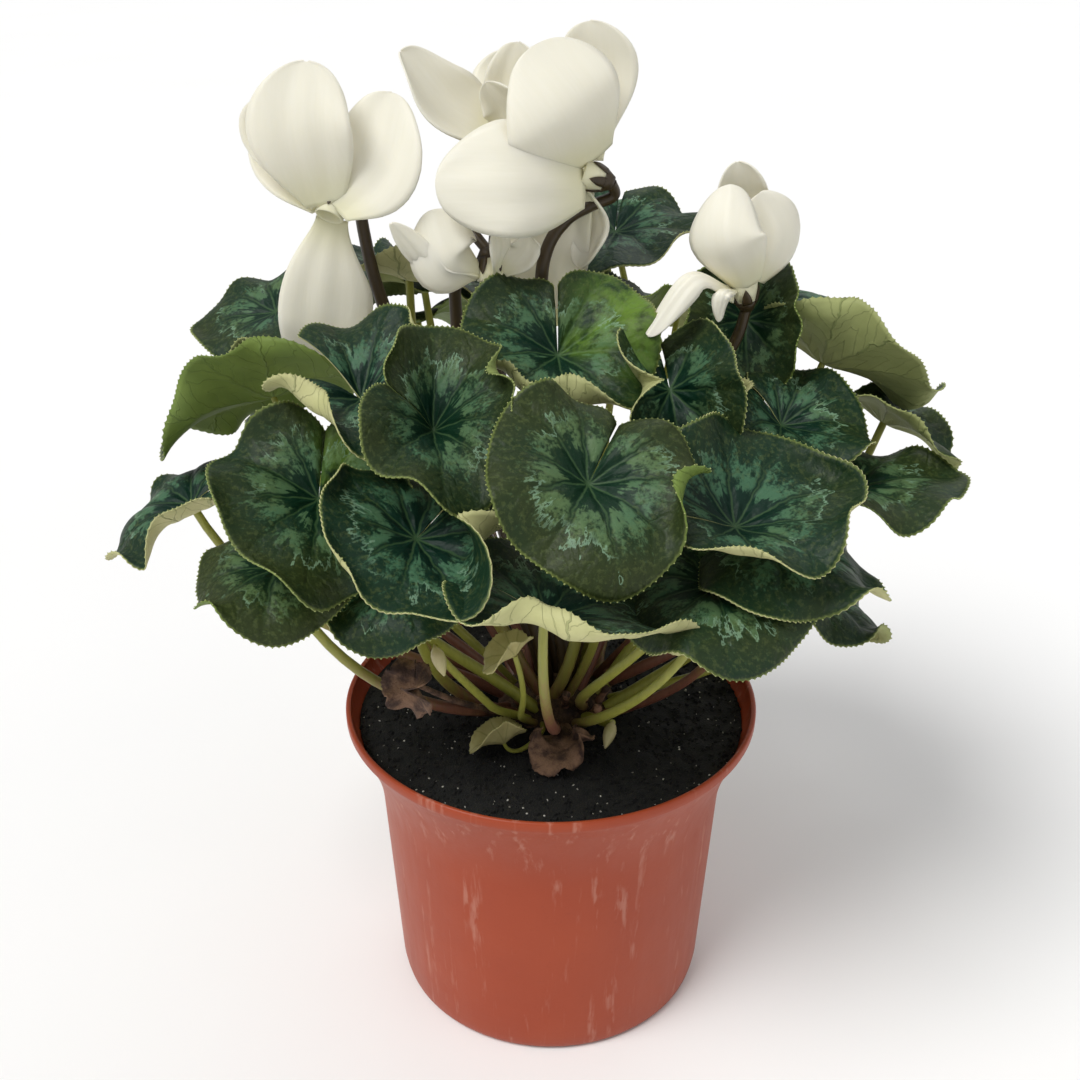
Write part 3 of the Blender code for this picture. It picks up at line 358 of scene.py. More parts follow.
def leaf_top(settings):
    """Upper skin of a cyclamen leaf: a waxed living skin, partly lifted off by air. It shows as satin dark
    blue-green with a broken silver band, a jagged pale line round it, and quilting between the veins."""
    made, node, shader = new_surface("leaf_upper_skin", Roughness=0.5, Specular_IOR_Level=0.22)
    where = node("ShaderNodeUVMap", uv_map="blade")
    share, tone, turn, lit_side = (node(ATTRIBUTE, out="Fac", attribute_name=key)
                                for key in ("share", "tone", "turn", "painted_light"))
    main, side = vein_distances(node)
    # Silver patches are about 8 mm across, grain 1 mm, broad shades 20 mm and freckles 2 mm
    patches = node(NOISE, {"Vector": where, "Scale": 0.13, "Detail": 4.0, "Roughness": 0.6})
    fine = node(NOISE, {"Vector": where, "Scale": 0.9, "Detail": 3.0, "Roughness": 0.6})
    broad = node(NOISE, {"Vector": where, "Scale": 0.05, "Detail": 2.0, "Roughness": 0.55})
    freckles = node(NOISE, {"Vector": where, "Scale": 0.55, "Detail": 5.0, "Roughness": 0.7})
    along_rays = node("ShaderNodeVectorMath",
                      (node("ShaderNodeCombineXYZ", (turn, share, tone)), (0.16, 2.2, 9.0)),
                      operation="MULTIPLY")
    streaks = node(NOISE, {"Vector": along_rays, "Scale": 1.0, "Detail": 4.0, "Roughness": 0.65})
    # The band is broken into patches between the main veins, and its edges are feathered along the rays
    feathered = node(MATHS, (streaks, 0.6, share), operation="MULTIPLY_ADD")
    feathered = node(MATHS, (patches, 0.8, feathered), operation="MULTIPLY_ADD")
    broken = node(MATHS, (fine, 0.5, patches), operation="MULTIPLY_ADD")
    band = masked(node, 1.0, (feathered, 1.04, 1.12), (feathered, 1.4, 1.3), (main, 0.5, 1.6),
                  (broken, 0.62, 0.82))
    # Beyond the band the silver only follows the side veins, in short strokes
    strokes = masked(node, 0.4, (side, 0.6, 0.15), (fine, 0.5, 0.66), (share, 0.45, 0.7),
                     (share, 0.97, 0.86))
    silver = node(MATHS, (band, strokes), operation="MAXIMUM")
    # A broken pale line runs in jags round the band
    from_line = node(MATHS, (feathered, 1.34), operation="SUBTRACT")
    from_line = node(MATHS, (from_line,), operation="ABSOLUTE")
    olive = masked(node, 1.0, (node(MATHS, (broad, 1.2, tone), operation="MULTIPLY_ADD"), 0.75, 1.45))
    part_olive = node(MATHS, (olive, 0.7), operation="MULTIPLY")
    inner = layered(node, settings.heart_teal, (olive, settings.heart_green))
    outer = layered(node, settings.margin_teal, (olive, settings.margin_olive))
    shown = layered(
        node, inner, (masked(node, 1.0, (share, 0.3, 0.85)), outer),
        (node(MATHS, (fine, 0.5), operation="MULTIPLY"), "#06150F"),
        # Painted light: one side of some blades is a lighter, fresher green, as if the light falls on it
        (masked(node, node(MATHS, (lit_side, 0.75), operation="MULTIPLY"), (patches, 0.3, 0.6)), "#6B8C30"),
        (node(MATHS, (silver, 0.6), operation="MULTIPLY"),
         layered(node, settings.silver, (part_olive, "#6E834E"))),
        (masked(node, 0.5, (from_line, 0.035, 0.008), (broad, 0.46, 0.6)), "#8DB092"),
        (masked(node, 0.3, (freckles, 0.5, 0.62), (share, 0.25, 0.6)), "#5A6638"),
        (masked(node, 0.3, (main, 0.55, 0.12), (share, 0.95, 0.1)), "#5F7F4E"),
        (masked(node, 0.6, (share, 0.975, 0.995)), "#7C8A48"))
    quilt = node(MATHS, (masked(node, 1.0, (main, 0.0, 2.4)), masked(node, 0.5, (side, 0.0, 1.8))),
                 operation="ADD")
    coat(shader, shown, node(MATHS, (fine, 0.7, quilt), operation="MULTIPLY_ADD"), 0.22)
    return made


def leaf_underside(settings):
    """Lower skin of a leaf, unwaxed and full of pores. It shows as matt pale yellow-green with darker veins
    that stand up, and as a darker green on some leaves: partly their own colour, partly painted shade on
    undersides turned away from the light."""
    made, node, shader = new_surface("leaf_lower_skin", Roughness=0.62, Specular_IOR_Level=0.35)
    tone = node(ATTRIBUTE, out="Fac", attribute_name="tone")
    main, side = vein_distances(node)
    cloud = node(NOISE, {"Vector": node("ShaderNodeUVMap", uv_map="blade"), "Scale": 0.12, "Detail": 4.0,
                         "Roughness": 0.55})
    pale = layered(node, "#A5A76C", (cloud, settings.underside))
    green = layered(node, "#52682B", (cloud, "#7F9442"))
    lines = node(MATHS, (masked(node, 1.0, (main, 0.5, 0.1)), masked(node, 0.5, (side, 0.3, 0.08))),
                 operation="MAXIMUM")
    # Partly painted shade: leaves with a higher tone get a darker green lower skin, partly their own colour
    shown = layered(node, pale, (masked(node, 1.0, (tone, 0.38, 0.62)), green),
                    (node(MATHS, (lines, 0.35), operation="MULTIPLY"), "#5B6F34"))
    coat(shader, shown, node(MATHS, (cloud, 0.5, lines), operation="MULTIPLY_ADD"), 0.3)
    return made


def pot_plastic(settings):
    """Terracotta-coloured polypropylene, injection moulded: a satin orange-brown with slow shade changes,
    pale upright scuffs from stacking and a little dark dust."""
    made, node, shader = new_surface("terracotta_plastic", Specular_IOR_Level=0.3)
    where, tall, short = (in_millimetres(node, (1.0, 1.0, squash)) for squash in (1.0, 0.07, 0.22))
    # Shades change over 33 mm, scuffs are 5 mm wide and scratches and dust 1 to 2 mm
    cloud = node(NOISE, {"Vector": where, "Scale": 0.03, "Detail": 3.0, "Roughness": 0.55})
    rubbed = node(NOISE, {"Vector": tall, "Scale": 0.2, "Detail": 4.0, "Roughness": 0.62})
    scratches = node(NOISE, {"Vector": short, "Scale": 0.45, "Detail": 3.0, "Roughness": 0.55})
    dust = node(NOISE, {"Vector": where, "Scale": 0.8, "Detail": 3.0, "Roughness": 0.55})
    shown = layered(node, "#963B1F", (cloud, settings.plastic),
                    (masked(node, 0.26, (rubbed, 0.53, 0.7), (scratches, 0.42, 0.62)), settings.scuff),
                    (masked(node, 0.12, (dust, 0.6, 0.75)), "#5E2A1E"))
    coat(shader, shown, node(MATHS, (dust, 0.08, cloud), operation="MULTIPLY_ADD"), 0.4)
    gloss = node(MATHS, (rubbed, 0.25, 0.3), operation="MULTIPLY_ADD")
    shader.id_data.links.new(gloss, shader.inputs["Roughness"])
    return made


def petal_skin(settings):
    """Cyclamen petal: thin, full of air and lightly waxed, so it glows a little. It shows as warm white,
    creamier at the throat, with faint pleats about 1 mm wide along its length."""
    made, node, shader = new_surface("petal_skin", Roughness=0.48, Specular_IOR_Level=0.35,
                                     Subsurface_Weight=0.25, Subsurface_Scale=0.002,
                                     Subsurface_Radius=(1.0, 0.9, 0.7))
    where = node("ShaderNodeUVMap", uv_map="blade")
    share = node(ATTRIBUTE, out="Fac", attribute_name="share")
    drawn = node("ShaderNodeVectorMath", (where, (1.0, 0.07, 1.0)), operation="MULTIPLY")
    pleats = node(NOISE, {"Vector": drawn, "Scale": 0.8, "Detail": 3.0, "Roughness": 0.55})
    shade = node(NOISE, {"Vector": where, "Scale": 0.09, "Detail": 2.0, "Roughness": 0.55})
    shown = layered(node, "#E9E4D0", (pleats, settings.petal),
                    (masked(node, 0.5, (share, 0.35, 0.0)), "#D9D6A4"),
                    (masked(node, 0.25, (shade, 0.62, 0.8)), "#D3D2C2"))
    coat(shader, shown, pleats, 0.05)
    return made


def petiole_skin(settings):
    """Fleshy leaf stalks, smooth and juicy: satin yellow-green, flushed red-brown towards the tuber, with
    fine lengthwise streaks."""
    made, node, shader = new_surface("petiole_skin", Roughness=0.42, Specular_IOR_Level=0.45)
    along, tone = (node(ATTRIBUTE, out="Fac", attribute_name=key) for key in ("along", "tone"))
    grain = node(NOISE, {"Vector": in_millimetres(node, (1.0, 1.0, 0.12)), "Scale": 0.7, "Detail": 4.0,
                         "Roughness": 0.55})
    green = layered(node, "#7C8032", (grain, settings.petiole_green))
    red = layered(node, "#4E2E22", (grain, settings.petiole_red))
    redder = node(MATHS, (grain, 0.35, node(MATHS, (tone, 0.9), operation="MULTIPLY")),
                  operation="MULTIPLY_ADD")
    redder = node(MATHS, (along, -0.9, redder), operation="MULTIPLY_ADD")
    coat(shader, layered(node, green, (masked(node, 1.0, (redder, 0.15, 0.6)), red)), grain, 0.12)
    return made


def grained(name, roughness, scale, detail, first, second, depth=0.0, squash=1.0, limits=()):
    """A skin whose two colours follow one grain, drawn out upwards by its squash. Limits sharpen the change
    of colour, and the grain's relief is as deep as the millimetres given."""
    made, node, shader = new_surface(name, Roughness=roughness)
    grain = node(NOISE, {"Vector": in_millimetres(node, (1.0, 1.0, squash)), "Scale": scale,
                         "Detail": detail, "Roughness": 0.55})
    part = masked(node, 1.0, (grain, *limits)) if limits else grain
    coat(shader, layered(node, first, (part, second)), grain if depth else None, depth)
    return made


def margin_glands():
    """The hard glands on the margin's teeth: satin beads in two yellow-greens, in patches of 5 mm."""
    return grained("margin_glands", 0.5, 0.2, 3.0, "#8B9650", "#B0B678")


def flower_stalk_skin(settings):
    """Flower stalks, firm and smooth: satin dark brown-red with lengthwise streaks about 1 mm wide."""
    return grained("flower_stalk_skin", 0.4, 0.8, 4.0, "#241A10", settings.stalk, depth=0.1, squash=0.1)


def bud_skin():
    """Closed buds: satin green-white, with streaks 2 mm wide along the rolled petals."""
    return grained("bud_skin", 0.45, 0.5, 3.0, "#9A9A5C", "#C6B592", depth=0.15, squash=0.2)


def pale_grit():
    """Perlite and sand: matt grains, some chalky and some grey, so they sparkle on the dark peat."""
    return grained("pale_grit", 0.8, 0.35, 3.0, "#6E6A62", "#C9C6BC", limits=(0.4, 0.6))


def stub_skin():
    """Dried ends of old stalks: rough brown with pinkish patches 3 mm across."""
    return grained("stub_skin", 0.7, 0.3, 4.0, "#3B261C", "#A07862", depth=0.4, limits=(0.4, 0.62))


def studio_paper():
    """Matt white paper, a shade uneven over a quarter of a metre."""
    return grained("studio_paper", 0.9, 0.004, 2.0, "#F2F1EF", "#F6F5F3")


def withered_skin():
    """A leaf dried brown: dull and brittle, blotched over 5 mm and wrinkled under 1 mm."""
    made, node, shader = new_surface("withered_skin", Roughness=0.85)
    where = in_millimetres(node)
    cloud = node(NOISE, {"Vector": where, "Scale": 0.22, "Detail": 4.0, "Roughness": 0.55})
    fine = node(NOISE, {"Vector": where, "Scale": 1.3, "Detail": 4.0, "Roughness": 0.55})
    shown = layered(node, "#3E2A22", (masked(node, 1.0, (cloud, 0.35, 0.65)), "#8A6A52"),
                    (node(MATHS, (fine, 0.5), operation="MULTIPLY"), "#2A1B16"))
    coat(shader, shown, fine, 0.5)
    return made


def young_skin():
    """Leaves that haven't unfolded yet: soft satin yellow-grey with olive veins."""
    made, node, shader = new_surface("young_skin", Roughness=0.5)
    cloud = node(NOISE, {"Vector": in_millimetres(node), "Scale": 0.3, "Detail": 3.0, "Roughness": 0.55})
    main, _ = vein_distances(node)
    shown = layered(node, "#A59A62", (cloud, "#C2BC86"), (masked(node, 0.4, (main, 0.4, 0.1)), "#7C7A44"))
    coat(shader, shown, cloud, 0.3)
    return made


def damp_peat(settings):
    """Milled peat, wet through: nearly black and matt, with browner fibres under 1 mm that catch light."""
    made, node, shader = new_surface("damp_peat", Roughness=0.88)
    where = in_millimetres(node)
    cloud = node(NOISE, {"Vector": where, "Scale": 0.25, "Detail": 5.0, "Roughness": 0.7})
    fine = node(NOISE, {"Vector": where, "Scale": 1.5, "Detail": 3.0, "Roughness": 0.55})
    shown = layered(node, "#050606", (masked(node, 1.0, (cloud, 0.4, 0.7)), settings.peat),
                    (masked(node, 1.0, (fine, 0.62, 0.72)), "#26221C"))
    coat(shader, shown, node(MATHS, (cloud, fine), operation="ADD"), 0.8)
    return made


def corky_skin():
    """The tuber's cork: dull brown and cracked, in patches of 5 mm with flakes of 1 mm."""
    made, node, shader = new_surface("corky_skin", Roughness=0.85)
    where = in_millimetres(node)
    cloud = node(NOISE, {"Vector": where, "Scale": 0.18, "Detail": 4.0, "Roughness": 0.55})
    fine = node(NOISE, {"Vector": where, "Scale": 0.9, "Detail": 5.0, "Roughness": 0.7})
    both = node(MATHS, (cloud, fine), operation="ADD")
    coat(shader, layered(node, "#2A1D16", (masked(node, 1.0, (both, 0.8, 1.2)), "#5E4634")), fine, 1.0)
    return made


# ------------------------------------------------------------------ lines, frames and blade shapes

def polar(azimuth, reach, height):
    """A point from its azimuth, its distance from the pot's axis and its height."""
    angle = math.radians(azimuth)
    return Vector((reach * math.cos(angle), reach * math.sin(angle), height))


def tuber_point(azimuth, tilt):
    """A point on the tuber's skin, and the way out of the skin there."""
    across, up = math.sin(math.radians(tilt)), math.cos(math.radians(tilt))
    side = polar(azimuth, 1, 0)
    point = TUBER_CENTRE + side * (TUBER_RADIUS * across) + Vector((0, 0, TUBER_HALF_HEIGHT * up))
    return point, (side * (across / TUBER_RADIUS) + Vector((0, 0, up / TUBER_HALF_HEIGHT))).normalized()


def turned_frame(heading, pitch, roll):
    """Columns are a piece's right, its forward and its up, after it is turned, tipped and rolled."""
    h, p, q = math.radians(heading), math.radians(pitch), math.radians(roll)
    forward = Vector((math.cos(h) * math.cos(p), math.sin(h) * math.cos(p), -math.sin(p)))
    up = Vector((math.cos(h) * math.sin(p), math.sin(h) * math.sin(p), math.cos(p)))
    right = Vector((math.sin(h), -math.cos(h), 0))
    rolled_right = right * math.cos(q) - up * math.sin(q)
    rolled_up = up * math.cos(q) + right * math.sin(q)
    return Matrix((rolled_right, forward, rolled_up)).transposed()


def bezier(p0, p1, p2, p3, count):
    """Points along a cubic curve."""
    return [p0 * (1 - t)**3 + p1 * 3 * (1 - t)**2 * t + p2 * 3 * (1 - t) * t * t + p3 * t**3
            for t in (i / (count - 1) for i in range(count))]


def through(points, per_span):
    """A smooth line that passes through every given point."""
    padded = [points[0] * 2 - points[1], *points, points[-1] * 2 - points[-2]]
    out = []
    for a, b, c, d in zip(padded, padded[1:], padded[2:], padded[3:]):
        for i in range(per_span):
            t = i / per_span
            out.append(0.5 * ((2 * b) + (c - a) * t + (2 * a - 5 * b + 4 * c - d) * t * t
                              + (3 * b - a - 3 * c + d) * t**3))
    out.append(points[-1])
    return out


def rising_line(root, marks, per_span):
    """A line that leaves the tuber square to its skin and then passes through the marks."""
    start, out = tuber_point(*root)
    start -= out * 0.5
    marks = [Vector(mark) for mark in marks]
    span = (marks[0] - start).length
    onward = (marks[1] - start).normalized()
    first = bezier(start, start + out * span * 0.3, marks[0] - onward * span * 0.3, marks[0], per_span + 1)
    return first[:-1] + through(marks, per_span)


def swell(turns, centre, half_width):
    """A smooth rise from 0 to 1 and back to 0, over the half width on each side of the centre."""
    offset = (turns - centre + 180) % 360 - 180
    return np.where(np.abs(offset) < half_width, 0.5 + 0.5 * np.cos(np.pi * offset / half_width), 0.0)


def blade_radius(spec, turns):
    """The blade's radius at angles from its tip, as shares of the leaf's size."""
    from_tip = np.abs((turns + 180) % 360 - 180)
    radius = 0.78 + 0.09 * np.cos(np.radians(from_tip) / 2)**2 + 0.13 * np.exp(-(from_tip / 22)**2)
    lobe_end = np.clip((np.abs(turns - spec["notch"]) - 130) / 52, 0, 1)
    return radius * np.sqrt(1 - 0.62 * lobe_end**2)


def blade_rays(spec, turns, shares, steps=48):
    """Flat reach and bent points, in the blade's own frame, for each turn and share."""
    at = (np.arange(steps) + 0.5) / steps
    turn, share = turns[:, None], at[None, :]
    # The slope at each step, from the blade's form, its ripples and its curls
    angle = spec["rise"] * (1 - share) - spec["droop"] * share**2
    angle = angle - spec["tip"] * share**2 * swell(turn, 0, 70)
    angle = angle + spec["fold"] * np.sin(np.radians(turn))**2 * (0.4 + 0.6 * share)
    angle = angle + spec["lobe"] * swell(turn - spec["notch"], 180, 80)
    angle = angle + spec["wave"] * np.sin(np.radians(3 * turn)) * share
    phase = sum(map(ord, spec["name"])) * 47 % 360
    for times, strength, power in ((2, 0.8, 1), (5, 1.0, 2), (8, 0.9, 3)):
        ripple = np.sin(np.radians(times * turn + phase * times))
        angle = angle + spec["ripple"] * strength * share**power * ripple
    for centre, half_width, extra, start in spec["curls"]:
        along = np.clip(share - start, 0, None) / (1 - start)
        angle = angle + extra * swell(turn, centre, half_width) * along * (1.4 - 0.4 * along)
    radius = spec["size"] * blade_radius(spec, turns) * (1 + 0.02 * np.sin(np.radians(5 * turns + phase)))
    middle = np.zeros((len(turns), 1))
    across, up = (np.concatenate([middle, np.cumsum(part(np.radians(angle)), axis=1)], axis=1) / steps
                  for part in (np.cos, np.sin))
    marks = np.arange(steps + 1) / steps
    r = np.array([np.interp(shares, marks, row) for row in across]) * radius[:, None]
    z = np.array([np.interp(shares, marks, row) for row in up]) * radius[:, None]
    flat = radius[:, None] * np.asarray(shares)[None, :]
    sines, cosines = np.sin(np.radians(turns))[:, None], np.cos(np.radians(turns))[:, None]
    return flat, np.stack([r * sines, r * cosines, z], axis=2)


def blade_grid(spec):
    """The blade's upper skin: even rings, then a finer ring with a tooth to each sector.

    Returns points, faces and, for each point, its share, turn, flat reach and whether a gland sits on it.
    """
    sectors = max(16, round(2 * math.pi * spec["size"] * MEAN_RADIUS / TOOTH_PITCH))
    low, high = spec["notch"] + spec["slit"] - 180, spec["notch"] - spec["slit"] + 180
    turns = np.linspace(low, high, sectors + 1)
    rings = np.array(BLADE_RINGS)
    flat, bent = blade_rays(spec, turns, rings)
    fine_turns = np.linspace(low, high, 4 * sectors + 1)
    fine_flat, fine_bent = blade_rays(spec, fine_turns, np.array([0.97, 1.0]))
    outward = fine_bent[:, 1] - fine_bent[:, 0]
    outward /= np.linalg.norm(outward, axis=1)[:, None] + 1e-9
    tooth = np.tile([0.0, 0.6, 1.0, 0.6], sectors + 1)[:4 * sectors + 1] * spec["tooth"]
    edge = fine_bent[:, 1] + outward * tooth[:, None]
    count, width = len(rings), sectors + 1
    # Main veins lie in shallow grooves
    groove = np.abs((turns + VEIN_STEP / 2) % VEIN_STEP - VEIN_STEP / 2)[:, None] * np.pi / 180 * flat
    depth = spec["groove"] * np.exp(-(groove / 1.7)**2) * np.minimum(flat / 4, 1)
    bent[:, :, 2] -= depth * (1 - 0.6 * rings[None, :])
    points = [np.zeros((1, 3)), bent.transpose(1, 0, 2).reshape(-1, 3), edge]
    share = np.concatenate([[0], np.repeat(rings, width), np.ones(len(fine_turns))])
    turn = np.concatenate([[0], np.tile(turns, count), fine_turns])
    reach = np.concatenate([[0], flat.T.reshape(-1), fine_flat[:, 1]])
    on_tooth = (np.arange(len(fine_turns)) % 4 == 2).astype(float)
    gland = np.concatenate([np.zeros(1 + count * width), on_tooth])
    faces = [(0, 1 + i + 1, 1 + i) for i in range(sectors)]
    for j in range(count - 1):
        a, b = 1 + j * width, 1 + (j + 1) * width
        faces += [(a + i, a + i + 1, b + i + 1, b + i) for i in range(sectors)]
    inner, outer = 1 + (count - 1) * width, 1 + count * width
    for i in range(sectors):
        k = outer + 4 * i
        faces += [(inner + i, k + 1, k), (inner + i, k + 2, k + 1), (inner + i, inner + i + 1, k + 2),
                  (inner + i + 1, k + 3, k + 2), (inner + i + 1, k + 4, k + 3)]
    return np.concatenate(points), faces, dict(share=share, turn=turn, reach=reach, gland=gland)


def corner_normals(points, faces):
    """Smooth normals from the faces round each point."""
    normals = np.zeros_like(points)
    for face in faces:
        corners = points[list(face)]
        normal = np.cross(corners[1] - corners[0], corners[2] - corners[0])
        if len(face) == 4:
            normal = normal + np.cross(corners[2] - corners[0], corners[3] - corners[0])
        for corner in face:
            normals[corner] += normal
    return normals / (np.linalg.norm(normals, axis=1)[:, None] + 1e-12)


def closed_sheet(points, faces, thickness):
    """A sheet given a back and a rim. Returns its points, its faces and each face's side: 0 is the face
    given, 1 its back and 2 its rim."""
    count = len(points)
    back = points - corner_normals(points, faces) * thickness[:, None]
    edges = {(face[i], face[(i + 1) % len(face)]) for face in faces for i in range(len(face))}
    rim = [(b, a, a + count, b + count) for a, b in edges if (b, a) not in edges]
    rim.sort()
    turned_back = [tuple(corner + count for corner in reversed(face)) for face in faces]
    sides = [0] * len(faces) + [1] * len(faces) + [2] * len(rim)
    return np.concatenate([points, back]), list(faces) + turned_back + rim, sides


def new_mesh(name, points, faces, sides=None, slots=(), values=None, flat=None, edges=()):
    """A mesh in metres with its materials, its named values and its own flat coordinates in millimetres."""
    mesh = bpy.data.meshes.new(name)
    mesh.from_pydata([tuple(p) for p in np.asarray(points) * MM], edges, faces)
    for surface in slots:
        mesh.materials.append(surface)
    if sides is not None:
        mesh.polygons.foreach_set("material_index", sides)
    mesh.polygons.foreach_set("use_smooth", [True] * len(mesh.polygons))
    for key, numbers in (values or {}).items():
        layer = mesh.attributes.new(key, "FLOAT", "POINT")
        layer.data.foreach_set("value", np.asarray(numbers, np.float32))
    if flat is not None:
        corners = np.zeros(len(mesh.loops), np.int32)
        mesh.loops.foreach_get("vertex_index", corners)
        layer = mesh.uv_layers.new(name="blade")
        layer.data.foreach_set("uv", np.asarray(flat, np.float32)[corners].ravel())
    mesh.update()
    return mesh


def new_piece(name, mesh, slot, *nodes):
    """Links a finished mesh as a piece that stands for the given parts of the frame."""
    made = bpy.data.objects.new(name, mesh)
    bpy.context.scene.collection.objects.link(made)
    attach(made, "root")
    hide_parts(*nodes)
    return made


# ------------------------------------------------------------------ geometry node trees

def tree_with(name, inputs):
    """A Geometry Nodes tree with a geometry input and named inputs, given as (name, kind, default): the
    tree, its own add function, and its inputs by name."""
    tree = bpy.data.node_groups.new(name, "GeometryNodeTree")
    tree.interface.new_socket("Geometry", in_out="INPUT", socket_type="NodeSocketGeometry")
    for label, kind, default in inputs:
        socket = tree.interface.new_socket(label, in_out="INPUT", socket_type="NodeSocket" + kind)
        if default is not None:
            socket.default_value = default
    tree.interface.new_socket("Geometry", in_out="OUTPUT", socket_type="NodeSocketGeometry")
    return tree, functools.partial(add, tree), tree.nodes.new("NodeGroupInput").outputs


def joined(tree, branches):
    """Ends a tree with all its branches joined."""
    join, result = tree.nodes.new("GeometryNodeJoinGeometry"), tree.nodes.new("NodeGroupOutput")
    for branch in branches:
        tree.links.new(branch, join.inputs[0])
    tree.links.new(join.outputs[0], result.inputs[0])
    return tree


def marked(node, name):
    """Whether a point's named value is over a half."""
    value = node("GeometryNodeInputNamedAttribute", {"Name": name}, data_type="FLOAT")
    return node("FunctionNodeCompare", (value, 0.5), data_type="FLOAT", operation="GREATER_THAN")


def stalk_branch(node, geometry, sides, surface):
    """Loose edges marked as stalk become a round stalk that follows its girth. Returns it and the rest."""
    line = node("GeometryNodeSeparateGeometry", (geometry, marked(node, "stalk")), domain="POINT")
    rest = line.node.outputs["Inverted"]
    line = node("GeometryNodeMeshToCurve", {"Mesh": line})
    ring = node("GeometryNodeCurvePrimitiveCircle", {"Resolution": sides, "Radius": 1.0})
    girth = node("GeometryNodeInputNamedAttribute", {"Name": "girth"}, data_type="FLOAT")
    tube = node("GeometryNodeCurveToMesh",
                {"Curve": line, "Profile Curve": ring, "Scale": girth, "Fill Caps": True})
    tube = node("GeometryNodeSetShadeSmooth", {"Geometry": tube})
    return node("GeometryNodeSetMaterial", {"Geometry": tube, "Material": surface}), rest


def leaf_growth_tree():
    """Grows a leaf's stalk along its line and sets a gland on each tooth of its margin."""
    tree, node, given = tree_with("leaf_growth", (
        ("Stalk Sides", "Int", 10), ("Gland Radius", "Float", 0.00024), ("Stalk Material", "Material", None),
        ("Gland Material", "Material", None)))
    stalk, blade = stalk_branch(node, given["Geometry"], given["Stalk Sides"], given["Stalk Material"])
    points = node("GeometryNodeMeshToPoints", {"Mesh": blade, "Selection": marked(node, "gland")})
    bead = node("GeometryNodeMeshIcoSphere", {"Radius": given["Gland Radius"], "Subdivisions": 1})
    spread = node("FunctionNodeRandomValue", {2: 0.6, 3: 1.25, "Seed": 4}, out=1, data_type="FLOAT")
    beads = node("GeometryNodeInstanceOnPoints", {"Points": points, "Instance": bead, "Scale": spread})
    beads = node("GeometryNodeRealizeInstances", {"Geometry": beads})
    beads = node("GeometryNodeSetShadeSmooth", {"Geometry": beads})
    beads = node("GeometryNodeSetMaterial", {"Geometry": beads, "Material": given["Gland Material"]})
    return joined(tree, (beads, stalk, blade))


def stalk_tree():
    """Grows a round stalk along a line and keeps the rest of the mesh."""
    tree, node, given = tree_with("flower_stalk", (
        ("Stalk Sides", "Int", 14), ("Stalk Material", "Material", None)))
    stalk, rest = stalk_branch(node, given["Geometry"], given["Stalk Sides"], given["Stalk Material"])
    return joined(tree, (rest, stalk))


def crumb_tree():
    """Scatters crumbs of peat and a few pale grains over the potting mix."""
    tree, node, given = tree_with("potting_mix_crumbs", (
        ("Crumb Density", "Float", 150000.0), ("Grit Density", "Float", 26000.0),
        ("Crumb Size", "Float", 0.0011), ("Grit Size", "Float", 0.00045),
        ("Crumb Material", "Material", None), ("Grit Material", "Material", None)))
    upward = node("ShaderNodeSeparateXYZ", (node("GeometryNodeInputNormal"),), out="Z")
    facing_up = node("FunctionNodeCompare", (upward, 0.5), data_type="FLOAT", operation="GREATER_THAN")
    branches = [given["Geometry"]]
    for kind, seed in (("Crumb", 3), ("Grit", 8)):
        spots = node("GeometryNodeDistributePointsOnFaces",
                     {"Mesh": given["Geometry"], "Selection": facing_up,
                      "Density": given[kind + " Density"], "Seed": seed})
        lump = node("GeometryNodeMeshIcoSphere", {"Radius": given[kind + " Size"], "Subdivisions": 1})
        turn = node("FunctionNodeRandomValue", {0: (0, 0, 0), 1: (6.28, 6.28, 6.28), "Seed": seed + 1},
                    data_type="FLOAT_VECTOR")
        size = node("FunctionNodeRandomValue", {0: (0.3, 0.3, 0.3), 1: (1.3, 1.1, 0.9), "Seed": seed + 2},
                    data_type="FLOAT_VECTOR")
        lumps = node("GeometryNodeInstanceOnPoints",
                     {"Points": spots, "Instance": lump,
                      "Rotation": node("FunctionNodeEulerToRotation", (turn,)), "Scale": size})
        lumps = node("GeometryNodeRealizeInstances", {"Geometry": lumps})
        branches.append(node("GeometryNodeSetMaterial",
                             {"Geometry": lumps, "Material": given[kind + " Material"]}))
    return joined(tree, branches)


def grown(name, mesh, tree, values):
    """The plain mesh that a tree makes from a mesh, with the tree's inputs set by name."""
    holder = bpy.data.objects.new(name + "_source", mesh)
    bpy.context.scene.collection.objects.link(holder)
    step = holder.modifiers.new("growth", "NODES")
    step.node_group = tree
    sockets = {item.name: item.identifier for item in tree.interface.items_tree
               if item.item_type == "SOCKET" and item.in_out == "INPUT"}
    for label, value in values.items():
        step[sockets[label]] = value
    holder.update_tag()
    evaluated = holder.evaluated_get(bpy.context.evaluated_depsgraph_get())
    result = bpy.data.meshes.new_from_object(evaluated)
    result.name = name
    holder.modifiers.clear()
    bpy.data.objects.remove(holder)
    return result


# ------------------------------------------------------------------ leaves

def petiole_line(spec, count=18):
    """The petiole's line from inside the tuber's skin to the blade."""
    root, out = tuber_point(spec["root"], STALK_TILT[spec["tier"]])
    start = root - out * 0.6
    up = turned_frame(*spec["turned"]).col[2]
    place = polar(*spec["place"])
    outwards = Vector((place.x, place.y, 0)).normalized()
    arriving = (up * 0.6 + Vector((0, 0, 0.5)) + outwards * 0.2).normalized()
    end = place - arriving * 0.3
    span = (end - start).length
    stray = random.Random(spec["name"])
    aside = Vector((-outwards.y, outwards.x, 0)) * stray.uniform(-0.32, 0.32)
    low = start + (out * 0.4 + aside - Vector((0, 0, 0.1 * stray.random()))) * span
    return bezier(start, low, end - (arriving * 0.42 - aside * 0.4) * span, end, count)


